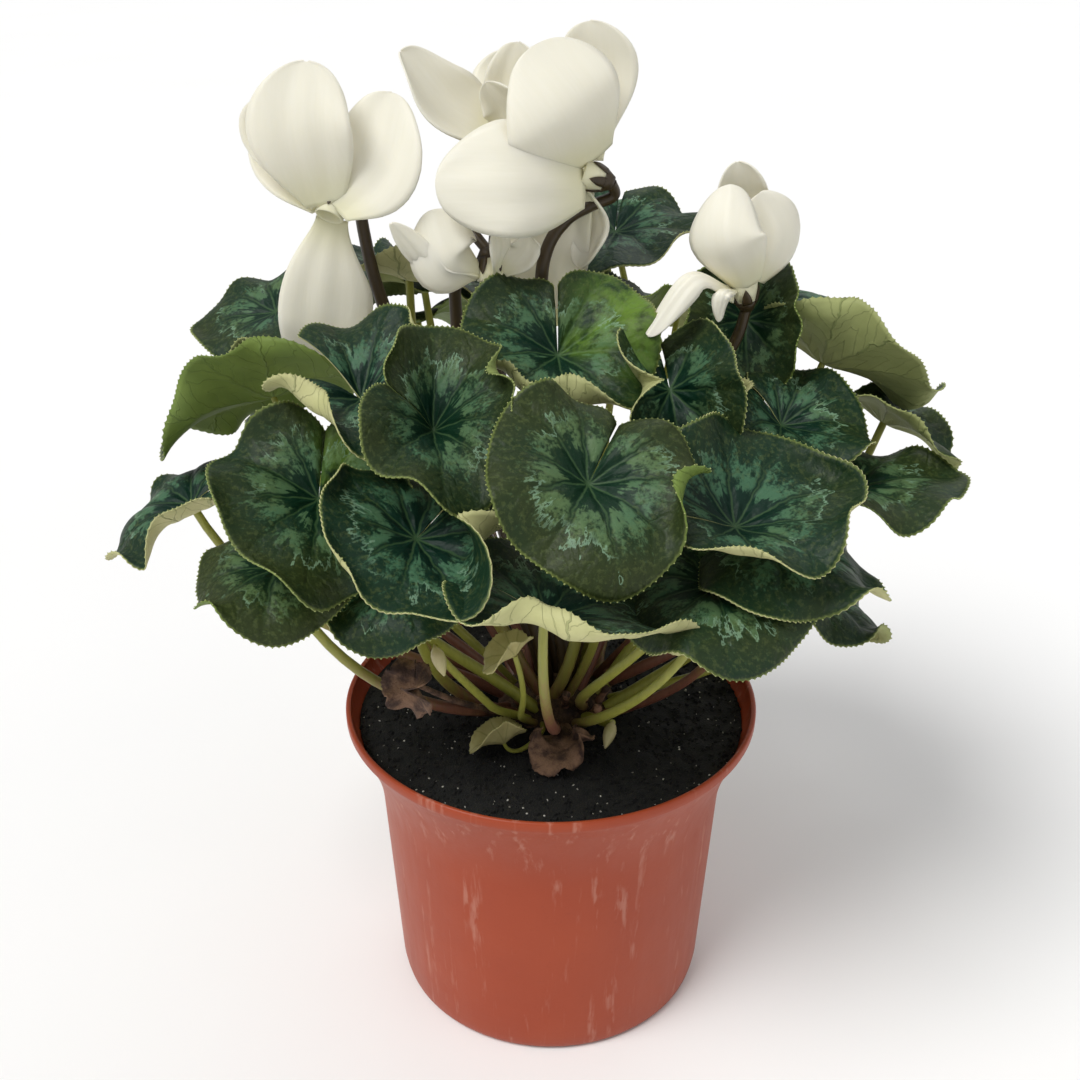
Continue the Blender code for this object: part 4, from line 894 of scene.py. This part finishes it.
def make_leaf(spec, settings, tree, skins):
    """One leaf: a toothed blade with two skins, its glands, and its stalk down to the tuber."""
    points, faces, values = blade_grid(spec)
    rotation = np.array(turned_frame(*spec["turned"]))
    placed = points @ rotation.T + np.array(polar(*spec["place"]))
    thickness = settings.blade_thickness / MM * (1 - 0.35 * values["share"])
    solid, faces, sides = closed_sheet(placed, faces, thickness)
    flat = np.stack([values["reach"] * np.sin(np.radians(values["turn"])),
                     values["reach"] * np.cos(np.radians(values["turn"]))], axis=1)
    seed = sum(map(ord, spec["name"]))
    line = petiole_line(spec)
    extra, zero = len(line), np.zeros(len(line))
    count = len(points)
    stoutness = spec["stalk"] * (0.85 + 0.3 * (seed % 7) / 6)
    girth = np.linspace(settings.petiole_base, settings.petiole_top, extra) * stoutness
    doubled = {key: np.concatenate([numbers, numbers, zero]) for key, numbers in values.items()}
    doubled["gland"][count:] = 0
    doubled["tone"] = np.concatenate([np.full(2 * count, spec["tone"]),
                                      np.full(extra, (seed * 37 % 100) / 100)])
    # Painted light: a lighter green over the side of the blade that the light falls on
    centre, half_width, strength = spec["lit_side"]
    painted_light = strength * swell(values["turn"], centre, half_width)
    doubled["painted_light"] = np.concatenate([painted_light, painted_light, zero])
    doubled["stalk"] = np.concatenate([np.zeros(2 * count), np.ones(extra)])
    doubled["girth"] = np.concatenate([np.zeros(2 * count), girth])
    doubled["along"] = np.concatenate([np.zeros(2 * count), np.linspace(0, 1, extra)])
    shift = (seed * 13 % 97) * 1.7
    flat = np.concatenate([flat, flat, np.zeros((extra, 2))]) + shift
    edges = [(2 * count + i, 2 * count + i + 1) for i in range(extra - 1)]
    whole = np.concatenate([solid, np.array([tuple(p) for p in line])])
    top, under, petiole, glands = skins
    mesh = new_mesh(spec["name"], whole, faces, sides, (top, under, under), doubled, flat, edges)
    return grown(spec["name"] + "_skin", mesh, tree, {
        "Stalk Sides": settings.petiole_sides, "Gland Radius": settings.gland_radius * spec["gland"],
        "Stalk Material": petiole, "Gland Material": glands})


class CYCLAMEN_OT_leaves(bpy.types.Operator):
    """Grow the full leaves, each with its stalk"""

    bl_idname = "cyclamen.leaves"
    bl_label = "Leaves"

    def execute(self, context):
        settings = context.scene.cyclamen_leaves
        tree = leaf_growth_tree()
        skins = (leaf_top(settings), leaf_underside(settings), petiole_skin(settings), margin_glands())
        for spec in LEAVES:
            # Each margin also lifts in three places of its own
            stray = random.Random("margin " + spec["name"])
            lifted = tuple((stray.uniform(-150, 150), stray.uniform(22, 38), stray.uniform(30, 120), 0.76)
                           for _ in range(3))
            spec = dict(spec, ripple=13, groove=0.8, tooth=settings.tooth_depth / MM, gland=1.0,
                        curls=spec["curls"] + lifted)
            new_piece(spec["name"] + "_look", make_leaf(spec, settings, tree, skins), "leaf_tissue",
                      spec["name"])
        return {"FINISHED"}


class CYCLAMEN_OT_small_leaves(bpy.types.Operator):
    """Grow the young leaves and the withered ones near the soil"""

    bl_idname = "cyclamen.small_leaves"
    bl_label = "Young and Withered Leaves"

    def execute(self, context):
        settings = context.scene.cyclamen_leaves
        tree = leaf_growth_tree()
        young, dead = young_skin(), withered_skin()
        living = (young, young, petiole_skin(settings), margin_glands())
        for specs, skins, slot, ripple in ((YOUNG_LEAVES, living, "young_tissue", 8),
                                           (WITHERED_LEAVES, (dead,) * 4, "withered_tissue", 45)):
            for spec in specs:
                spec = dict(spec, ripple=ripple, groove=0.3, tooth=0.3, gland=0.6)
                new_piece(spec["name"] + "_look", make_leaf(spec, settings, tree, skins), slot,
                          spec["name"])
        return {"FINISHED"}


# ------------------------------------------------------------------ flowers and buds

def petal_sheet(flower, spec, columns=14, rows=30):
    """A petal as a closed sheet along its midrib, with its share and flat coordinates."""
    mouth, facing = Vector(flower["mouth"]), Vector(flower["facing"]).normalized()
    reach = Vector(spec["tip"])
    side = (reach - facing * reach.dot(facing)).normalized()
    start = mouth + side * THROAT_RADIUS - facing * THROAT_DEPTH
    end = mouth + reach
    midrib = through([start, (start + end) / 2 + Vector(spec["via"]), end], 16)
    lengths = np.cumsum([0] + [(b - a).length for a, b in zip(midrib, midrib[1:])])
    face = Vector(spec["face"]).normalized()
    points, share_of, flat = [], [], []
    for row in range(rows + 1):
        share = math.sin(row / rows * math.pi / 2) ** 1.2
        share = min(share, 0.9995)
        place = share * (len(midrib) - 1)
        low = min(int(place), len(midrib) - 2)
        point = midrib[low].lerp(midrib[low + 1], place - low)
        before, after = midrib[max(low - 1, 0)], midrib[min(low + 2, len(midrib) - 1)]
        along = (after - before).normalized()
        width = along.cross(face).normalized()
        blade = math.sin(math.pi * share**spec["shoulder"]) ** (0.8 - 0.35 * share)
        half = 0.5 * spec["width"] * (spec["claw"] * (1 - share)**2 + blade)
        # Each row is cupped, lightly pleated and ruffled towards its margins
        for column in range(columns + 1):
            across = column / columns * 2 - 1
            lift = spec["cup"] * across * across * half
            lift += 0.25 * math.cos(across * 9) * math.sin(math.pi * share)
            ruffle = math.sin(share * 9 + across * 2 + spec["width"])
            lift += 2.6 * half / spec["width"] * abs(across)**3 * ruffle * share
            reach_out = across * half * (1 + 0.1 * across * math.sin(share * 5 + spec["width"]))
            points.append(point + width * reach_out + width.cross(along) * lift)
            share_of.append(share)
            flat.append((across * half, lengths[low]))
    wide = columns + 1
    faces = [(r * wide + c, r * wide + c + 1, (r + 1) * wide + c + 1, (r + 1) * wide + c)
             for r in range(rows) for c in range(columns)]
    points = np.array([tuple(p) for p in points])
    share_of = np.array(share_of)
    solid, faces, _ = closed_sheet(points, faces, PETAL_THICKNESS - PETAL_THINNING * share_of)
    return solid, faces, np.concatenate([share_of, share_of]), np.concatenate([flat, flat])


def spun(profile, steps, place, direction):
    """A closed turned form. The profile's first and last points lie on its axis."""
    aim = np.array(Vector(direction).normalized().to_track_quat("Z", "Y").to_matrix())
    points, faces = [(0, 0, profile[0][1])], []
    rings = profile[1:-1]
    angles = [2 * math.pi * k / steps for k in range(steps)]
    for radius, z in rings:
        points += [(radius * math.cos(angle), radius * math.sin(angle), z) for angle in angles]
    points.append((0, 0, profile[-1][1]))
    last = len(points) - 1
    for k in range(steps):
        n = (k + 1) % steps
        faces.append((0, 1 + n, 1 + k))
        for j in range(len(rings) - 1):
            a, b = 1 + j * steps, 1 + (j + 1) * steps
            faces.append((a + k, a + n, b + n, b + k))
        base = 1 + (len(rings) - 1) * steps
        faces.append((last, base + k, base + n))
    return np.array(points) @ aim.T + np.array(place), faces


def gathered(parts):
    """Several (points, faces) joined into one list of points and one of faces."""
    points, faces, base = [], [], 0
    for more, polygons in parts:
        points.append(more)
        faces += [tuple(corner + base for corner in polygon) for polygon in polygons]
        base += len(more)
    return np.concatenate(points), faces


def make_corolla(flower, skin):
    """Five petals and the short tube that they grow from."""
    parts, shares, flats = [], [], []
    for spec in flower["petals"]:
        points, faces, share, flat = petal_sheet(flower, spec)
        parts.append((points, faces))
        shares.append(share)
        flats.append(flat)
    cup = [(0, -5.0), (2.4, -5.0), (3.2, -3.0), (3.5, 0.0), (3.9, 0.3), (4.3, 0.0), (4.0, -3.0), (3.4, -6.0),
           (0, -6.0)]
    tube, faces = spun(cup, 28, flower["mouth"], flower["facing"])
    parts.append((tube, faces))
    shares.append(np.zeros(len(tube)))
    flats.append(np.zeros((len(tube), 2)))
    points, faces = gathered(parts)
    return new_mesh(flower["name"] + "_corolla", points, faces, slots=(skin,),
                    values={"share": np.concatenate(shares)}, flat=np.concatenate(flats))


def calyx(flower):
    """Five pointed sepals round a cone behind the corolla's tube."""
    facing = Vector(flower["facing"]).normalized()
    base = Vector(flower["mouth"]) - facing * CALYX_BACK
    cone = [(0, 0.0), (3.3, 0.0), (3.5, -0.5), (2.7, -1.8), (1.9, -3.2), (0, -3.4)]
    parts = [spun(cone, 20, base, facing)]
    aim = facing.to_track_quat("Z", "Y").to_matrix()
    for k in range(5):
        turn = Matrix.Rotation(2 * math.pi * k / 5, 3, "Z")
        # A sepal narrows to its tip, bends round the tube and leans a little away from it
        rows = []
        for i in range(7):
            t = i / 6
            half = 1.9 * (1 - t**1.6) + 0.05
            for c in (-1, -0.5, 0, 0.5, 1):
                angle = c * half / 4.4
                radius = 3.5 + 1.2 * t + 0.25 * math.sin(t * math.pi)
                rows.append(base + aim @ (turn @ Vector((radius * math.cos(angle), radius * math.sin(angle),
                                                         -0.6 + 5.0 * t))))
        corners = [5 * i + c for i in range(6) for c in range(4)]
        faces = [(corner, corner + 1, corner + 6, corner + 5) for corner in corners]
        points = np.array([tuple(p) for p in rows])
        solid, closed, _ = closed_sheet(points, faces, np.full(len(points), SEPAL_THICKNESS))
        parts.append((solid, closed))
    return gathered(parts)


def stalk_mesh(name, line, girth, extra, skin):
    """A mesh of other closed shells and one loose line to grow into a stalk."""
    points, faces = extra
    count = len(points)
    whole = np.concatenate([points, np.array([tuple(p) for p in line])])
    values = {"stalk": np.concatenate([np.zeros(count), np.ones(len(line))]),
              "girth": np.concatenate([np.zeros(count), np.asarray(girth)])}
    edges = [(count + i, count + i + 1) for i in range(len(line) - 1)]
    return new_mesh(name, whole, faces, slots=(skin,), values=values, edges=edges)


class CYCLAMEN_OT_flowers(bpy.types.Operator):
    """Grow the flowers: a corolla of five petals and a stalk with its calyx for each"""

    bl_idname = "cyclamen.flowers"
    bl_label = "Flowers"

    def execute(self, context):
        settings = context.scene.cyclamen_flowers
        petal_surface, stalk_surface, tree = petal_skin(settings), flower_stalk_skin(settings), stalk_tree()
        for flower in FLOWERS:
            name = flower["name"]
            new_piece(name + "_petals", make_corolla(flower, petal_surface), "petal_tissue", name)
            facing = Vector(flower["facing"]).normalized()
            marks = list(flower["stem"]) + [tuple(Vector(flower["mouth"]) - facing * STALK_BACK)]
            line = rising_line(flower["root"], marks, 9)
            girth = np.linspace(settings.stalk_base, settings.stalk_top, len(line))
            mesh = stalk_mesh(name, line, girth, calyx(flower), stalk_surface)
            made = grown(name + "_stalk", mesh, tree,
                         {"Stalk Sides": settings.stalk_sides, "Stalk Material": stalk_surface})
            new_piece(name + "_stalk", made, "stem_tissue", name + "_stem")
        return {"FINISHED"}


class CYCLAMEN_OT_buds(bpy.types.Operator):
    """Grow the closed buds on their thin stalks"""

    bl_idname = "cyclamen.buds"
    bl_label = "Buds"

    def execute(self, context):
        surface, stalk_surface = bud_skin(), petiole_skin(context.scene.cyclamen_leaves)
        tree = stalk_tree()
        for name, root, marks, tip in BUDS:
            line = rising_line(root, marks, 8)
            neck = line[-1]
            heading = (Vector(tip) - neck).normalized()
            length = (Vector(tip) - neck).length + 2.5
            shape = [(0, -1.0)]
            shape += [(BUD_RADIUS * math.sin(math.pi * min(t, 0.97)**0.7)**0.8 + 0.1, t * length)
                      for t in (0.03, 0.12, 0.25, 0.4, 0.55, 0.7, 0.82, 0.92, 0.98)]
            shape.append((0, length))
            points, faces = spun(shape[::-1], 20, neck, heading)
            girth = np.linspace(*BUD_GIRTH, len(line)) * MM
            mesh = stalk_mesh(name, line, girth, (points, faces), surface)
            made = grown(name + "_look", mesh, tree, {"Stalk Sides": 10, "Stalk Material": stalk_surface})
            new_piece(name + "_look", made, "stem_tissue", name)
        return {"FINISHED"}


# ------------------------------------------------------------------ pot, potting mix and tuber

def turned_mesh(name, profile, steps, surface):
    """A form turned about the pot's axis."""
    points, faces = spun(profile, steps, (0, 0, 0), (0, 0, 1))
    return new_mesh(name, points, faces, slots=(surface,))


def flare(height):
    """The outer radius of the concave flare between the pot's body and its lip."""
    t = (height - WAIST_HEIGHT) / FLARE_HEIGHT
    start, turn, end = WAIST_RADIUS, WAIST_RADIUS + FLARE_LEAN, RIM_RADIUS - LIP_OVERHANG
    return (1 - t)**2 * start + 2 * t * (1 - t) * turn + t * t * end


def pot_profile(wall):
    """The pot's wall from the middle of its floor up the inside, over the lip and down the outside."""
    heights = [WAIST_HEIGHT + FLARE_HEIGHT * i / 12 for i in range(13)]
    inside = [(0, FLOOR_TOP), (51.0, FLOOR_TOP), (52.6, FLOOR_TOP + 0.7), (53.1, FLOOR_TOP + 2.0)]
    inside += [(flare(z) - wall, z) for z in heights]
    lip = [(RIM_RADIUS + across, POT_HEIGHT + up) for across, up in LIP]
    flared = [(flare(z), z) for z in reversed(heights[:-1])]
    body = [(FOOT_RADIUS + (WAIST_RADIUS - FOOT_RADIUS) * z / WAIST_HEIGHT, z) for z in (60, 45, 30, 15, 6)]
    foot = [(54.8, 3.2), (54.4, 1.6), (53.6, 0.6), (52.6, 0.1), (51.6, 0.0),
            (RECESS_RADIUS, 0.0), (RECESS_RADIUS, RECESS_HEIGHT)]
    pad = [(PAD_RADIUS, RECESS_HEIGHT), (PAD_RADIUS, 0.0), (0, 0.0)]
    return inside + lip + flared + body + foot + pad


def cut(target, cutters):
    """Takes the cutters out of a piece for good."""
    for cutter in cutters:
        step = target.modifiers.new("cut", "BOOLEAN")
        step.operation = "DIFFERENCE"
        step.solver = "EXACT"
        step.object = cutter
    done = bpy.data.meshes.new_from_object(target.evaluated_get(bpy.context.evaluated_depsgraph_get()))
    target.modifiers.clear()
    target.data = done
    for cutter in cutters:
        bpy.data.objects.remove(cutter)


def block(corners_low, corners_high, turn):
    """A temporary box to cut with, turned about the pot's axis."""
    bm = bmesh.new()
    bmesh.ops.create_cube(bm, size=1.0)
    low, high = Vector(corners_low), Vector(corners_high)
    bmesh.ops.scale(bm, vec=(high - low) * MM, verts=bm.verts)
    bmesh.ops.translate(bm, vec=(low + high) / 2 * MM, verts=bm.verts)
    bmesh.ops.rotate(bm, cent=(0, 0, 0), matrix=Matrix.Rotation(turn, 3, "Z"), verts=bm.verts)
    mesh = bpy.data.meshes.new("cutter")
    bm.to_mesh(mesh)
    bm.free()
    made = bpy.data.objects.new("cutter", mesh)
    bpy.context.scene.collection.objects.link(made)
    return made


class CYCLAMEN_OT_pot(bpy.types.Operator):
    """Turn the plastic pot, with its drain holes and the notches in its foot"""

    bl_idname = "cyclamen.pot"
    bl_label = "Pot"

    def execute(self, context):
        settings = context.scene.cyclamen_pot
        mesh = turned_mesh("pot_wall", pot_profile(settings.wall / MM), settings.steps,
                           pot_plastic(settings))
        target = bpy.data.objects.new("pot_look", mesh)
        context.scene.collection.objects.link(target)
        cutters = [block((46.6, -NOTCH_HALF_WIDTH, -2), (60, NOTCH_HALF_WIDTH, NOTCH_HEIGHT),
                         2 * math.pi * i / NOTCHES) for i in range(NOTCHES)]
        bore = [(0, 7), (DRAIN_RADIUS, 7), (DRAIN_RADIUS, 1), (0, 1)]
        for i in range(DRAIN_HOLES):
            place = polar(360 * (i + 0.5) / DRAIN_HOLES, DRAIN_RING, 0)
            points, faces = spun(bore, 24, place, (0, 0, 1))
            hole = bpy.data.objects.new("cutter", new_mesh("cutter", points, faces))
            context.scene.collection.objects.link(hole)
            cutters.append(hole)
        cut(target, cutters)
        mesh = target.data
        bpy.data.objects.remove(target)
        mesh.polygons.foreach_set("use_smooth", [True] * len(mesh.polygons))
        mesh.set_sharp_from_angle(angle=math.radians(40))
        new_piece("pot_look", mesh, "moulded_plastic", "pot")
        return {"FINISHED"}


class CYCLAMEN_OT_potting_mix(bpy.types.Operator):
    """Fill the pot with lumpy peat and scatter crumbs and grit on it"""

    bl_idname = "cyclamen.potting_mix"
    bl_label = "Potting Mix"

    def execute(self, context):
        settings = context.scene.cyclamen_pot
        peat, grit = damp_peat(settings), pale_grit()
        edge = flare(SOIL_TOP) - SOIL_INSET
        top = [(0, SOIL_TOP)] + [(edge * i / 44, SOIL_TOP) for i in range(1, 45)]
        side = [(flare(z) - SOIL_INSET, z) for z in (100, 94, 88, 82, WAIST_HEIGHT)]
        side += [(52.6, 7.5), (50.5, 5.4), (0, 5.4)]
        points, faces = spun((top + side)[::-1], 150, (0, 0, 0), (0, 0, 1))
        for point in points:
            reach = math.hypot(point[0], point[1])
            # Lumps 9 mm and 2 mm across, level at the wall, and a low ridge heaped round the tuber
            if point[2] > SOIL_TOP - 0.5 and reach < edge - 0.01:
                where = Vector(point) * 0.11
                rise = noise.fractal(where, 0.9, 2.1, 4) * 1.5 + noise.noise(where * 5) * 0.5
                point[2] += rise * min(1, (edge - reach) / 5) + 1.6 * math.exp(-(reach - 28)**2 / 120)
        mesh = new_mesh("potting_mix_body", points, faces, slots=(peat,))
        made = grown("potting_mix_look", mesh, crumb_tree(),
                     {"Crumb Density": settings.crumb_density, "Grit Density": settings.grit_density,
                      "Crumb Material": peat, "Grit Material": grit})
        new_piece("potting_mix_look", made, "potting_mix", "potting_mix")
        return {"FINISHED"}


class CYCLAMEN_OT_tuber(bpy.types.Operator):
    """Shape the knobbly tuber that every stalk grows from"""

    bl_idname = "cyclamen.tuber"
    bl_label = "Tuber"

    def execute(self, context):
        heights = [math.cos(math.pi * i / 40) for i in range(41)]
        profile = [(math.sqrt(max(0, 1 - h * h)), h) for h in heights]
        points, faces = spun(profile[::-1], 72, (0, 0, 0), (0, 0, 1))
        # Knobs 8 mm and 3 mm across
        for point in points:
            where = Vector(point)
            swelling = 1 + 0.05 * noise.noise(where * 2.5) + 0.05 * noise.noise(where * 7)
            point *= (TUBER_RADIUS * swelling, TUBER_RADIUS * swelling, TUBER_HALF_HEIGHT * swelling)
        parts = [(points + np.array(TUBER_CENTRE), faces)]
        for azimuth, tilt, length, radius in STUBS:
            place, out = tuber_point(azimuth, tilt)
            knob = [(0, length), (radius * 0.6, length * 0.97), (radius, length * 0.85),
                    (radius * 0.8, length * 0.5), (radius, 0), (0, -1.5)]
            parts.append(spun(knob[::-1], 14, place, out + Vector((0, 0, 0.4))))
        points, faces = gathered(parts)
        sides = [0 if corner < len(parts[0][1]) else 1 for corner in range(len(faces))]
        mesh = new_mesh("tuber_look", points, faces, sides, (corky_skin(), stub_skin()))
        new_piece("tuber_look", mesh, "tuber_skin", "tuber")
        return {"FINISHED"}


# ------------------------------------------------------------------ stage

class CYCLAMEN_OT_stage(bpy.types.Operator):
    """Set the plain pale floor, the soft light and the camera"""

    bl_idname = "cyclamen.stage"
    bl_label = "Stage"

    def execute(self, context):
        scene = context.scene
        corners = [(x * FLOOR_HALF_WIDTH, y * FLOOR_HALF_WIDTH, 0.0)
                   for x, y in ((-1, -1), (1, -1), (1, 1), (-1, 1))]
        mesh = new_mesh("studio_floor", corners, [(0, 1, 2, 3)], slots=(studio_paper(),))
        floor = bpy.data.objects.new("studio_floor", mesh)
        scene.collection.objects.link(floor)
        for name, place, strength, spread in LAMPS:
            lamp = bpy.data.lights.new(name, "SUN")
            lamp.energy = strength
            lamp.angle = math.radians(spread)
            made = bpy.data.objects.new(name, lamp)
            made.rotation_euler = (-Vector(place)).to_track_quat("-Z", "Y").to_euler()
            scene.collection.objects.link(made)
        world = bpy.data.worlds.new("studio_world")
        world.use_nodes = True
        sky = world.node_tree.nodes["Background"]
        sky.inputs["Color"].default_value = colour("#F4F6FA")
        sky.inputs["Strength"].default_value = SKY_STRENGTH
        scene.world = world
        scene.view_settings.view_transform = "Standard"
        lens = bpy.data.cameras.new("studio_camera")
        lens.lens = FOCAL_LENGTH
        lens.sensor_width = SENSOR_WIDTH
        camera = bpy.data.objects.new("studio_camera", lens)
        camera.location = CAMERA_PLACE
        camera.rotation_euler = (CAMERA_AIM - CAMERA_PLACE).to_track_quat("-Z", "Y").to_euler()
        scene.collection.objects.link(camera)
        scene.camera = camera
        return {"FINISHED"}


# ------------------------------------------------------------------ settings, panel and running

SWATCH = dict(size=4, min=0, max=1, subtype="COLOR")    # what every colour setting shares


class CyclamenLeafSettings(bpy.types.PropertyGroup):
    """Sizes and colours of the leaves and petioles"""

    blade_thickness: FloatProperty(name="Blade Thickness", description="Thickness of a blade at its middle",
                                   default=0.0006, min=0.0002, unit="LENGTH")
    tooth_depth: FloatProperty(name="Tooth Depth", description="How far the margin's teeth stand out",
                               default=0.0004, min=0.0, unit="LENGTH")
    gland_radius: FloatProperty(name="Gland Radius", description="Radius of the pale gland on each tooth",
                                default=0.00024, min=0.0, unit="LENGTH")
    petiole_base: FloatProperty(name="Petiole Base", description="Radius of a petiole at the tuber",
                                default=0.0019, min=0.0005, unit="LENGTH")
    petiole_top: FloatProperty(name="Petiole Top", description="Radius of a petiole at its blade",
                               default=0.00115, min=0.0005, unit="LENGTH")
    petiole_sides: IntProperty(name="Petiole Sides", description="Flat sides round a petiole", default=10,
                               min=6)
    heart_teal: FloatVectorProperty(name="Heart, Teal", description="Middle of the bluest blades",
                                    default=colour("#042B1E"), **SWATCH)
    heart_green: FloatVectorProperty(name="Heart, Green", description="Middle of the olive blades",
                                     default=colour("#0B3019"), **SWATCH)
    margin_teal: FloatVectorProperty(name="Margin, Teal", description="Outer part of the bluest blades",
                                     default=colour("#15331E"), **SWATCH)
    margin_olive: FloatVectorProperty(name="Margin, Olive", description="Outer part of the olive blades",
                                      default=colour("#323D18"), **SWATCH)
    silver: FloatVectorProperty(name="Silver Band", description="The broken band on the blades",
                                default=colour("#54805F"), **SWATCH)
    underside: FloatVectorProperty(name="Underside", description="Palest patches of the lower skin",
                                   default=colour("#CFCB98"), **SWATCH)
    petiole_green: FloatVectorProperty(name="Petiole, Green", description="Petioles near their blades",
                                       default=colour("#A8A74C"), **SWATCH)
    petiole_red: FloatVectorProperty(name="Petiole, Red", description="Petioles near the tuber",
                                     default=colour("#7F5240"), **SWATCH)


class CyclamenFlowerSettings(bpy.types.PropertyGroup):
    """Sizes and colours of the flowers"""

    stalk_base: FloatProperty(name="Stalk Base", description="Radius of a flower stalk at the tuber",
                              default=0.0023, min=0.0005, unit="LENGTH")
    stalk_top: FloatProperty(name="Stalk Top", description="Radius of a flower stalk below its calyx",
                             default=0.0016, min=0.0005, unit="LENGTH")
    stalk_sides: IntProperty(name="Stalk Sides", description="Flat sides round a flower stalk", default=14,
                             min=6)
    petal: FloatVectorProperty(name="Petals", description="The petals' lighter streaks",
                               default=colour("#EEE9D8"), **SWATCH)
    stalk: FloatVectorProperty(name="Stalks", description="The stalks' lighter streaks",
                               default=colour("#4A3A1C"), **SWATCH)


class CyclamenPotSettings(bpy.types.PropertyGroup):
    """Sizes and colours of the pot and the potting mix"""

    wall: FloatProperty(name="Wall", description="Thickness of the pot's wall", default=0.0016, min=0.0008,
                        unit="LENGTH")
    steps: IntProperty(name="Steps", description="Flat sides round the pot", default=160, min=48)
    crumb_density: FloatProperty(name="Crumb Density", description="Crumbs of peat on each square metre",
                                 default=150000, min=0)
    grit_density: FloatProperty(name="Grit Density", description="Pale grains on each square metre",
                                default=26000, min=0)
    plastic: FloatVectorProperty(name="Plastic", description="The pot's lighter patches",
                                 default=colour("#A64828"), **SWATCH)
    scuff: FloatVectorProperty(name="Scuffs", description="Rubbed strokes on the pot",
                               default=colour("#D9AE9C"), **SWATCH)
    peat: FloatVectorProperty(name="Peat", description="The potting mix's lighter patches",
                              default=colour("#14120F"), **SWATCH)


STEPS = ("pot", "potting_mix", "tuber", "leaves", "small_leaves", "flowers", "buds", "stage")


class CYCLAMEN_PT_panel(bpy.types.Panel):
    """Lists the settings and the steps that build the plant"""

    bl_idname = "CYCLAMEN_PT_panel"
    bl_label = "Cyclamen"
    bl_space_type = "VIEW_3D"
    bl_region_type = "UI"
    bl_category = "Cyclamen"

    def draw(self, context):
        scene = context.scene
        for title, group in (("Leaves", scene.cyclamen_leaves), ("Flowers", scene.cyclamen_flowers),
                             ("Pot", scene.cyclamen_pot)):
            column = self.layout.column(align=True)
            column.label(text=title)
            for key in group.__annotations__:
                column.prop(group, key)
        for step in STEPS:
            self.layout.operator("cyclamen." + step)


CLASSES = (CyclamenLeafSettings, CyclamenFlowerSettings, CyclamenPotSettings, CYCLAMEN_OT_pot,
           CYCLAMEN_OT_potting_mix, CYCLAMEN_OT_tuber, CYCLAMEN_OT_leaves, CYCLAMEN_OT_small_leaves,
           CYCLAMEN_OT_flowers, CYCLAMEN_OT_buds, CYCLAMEN_OT_stage, CYCLAMEN_PT_panel)


def register():
    for one in CLASSES:
        bpy.utils.register_class(one)
    bpy.types.Scene.cyclamen_leaves = PointerProperty(type=CyclamenLeafSettings)
    bpy.types.Scene.cyclamen_flowers = PointerProperty(type=CyclamenFlowerSettings)
    bpy.types.Scene.cyclamen_pot = PointerProperty(type=CyclamenPotSettings)


def unregister():
    del bpy.types.Scene.cyclamen_pot
    del bpy.types.Scene.cyclamen_flowers
    del bpy.types.Scene.cyclamen_leaves
    for one in reversed(CLASSES):
        bpy.utils.unregister_class(one)


def main():
    register()
    for step in STEPS:
        getattr(bpy.ops.cyclamen, step)()
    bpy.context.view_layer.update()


if __name__ == "__main__":
    main()
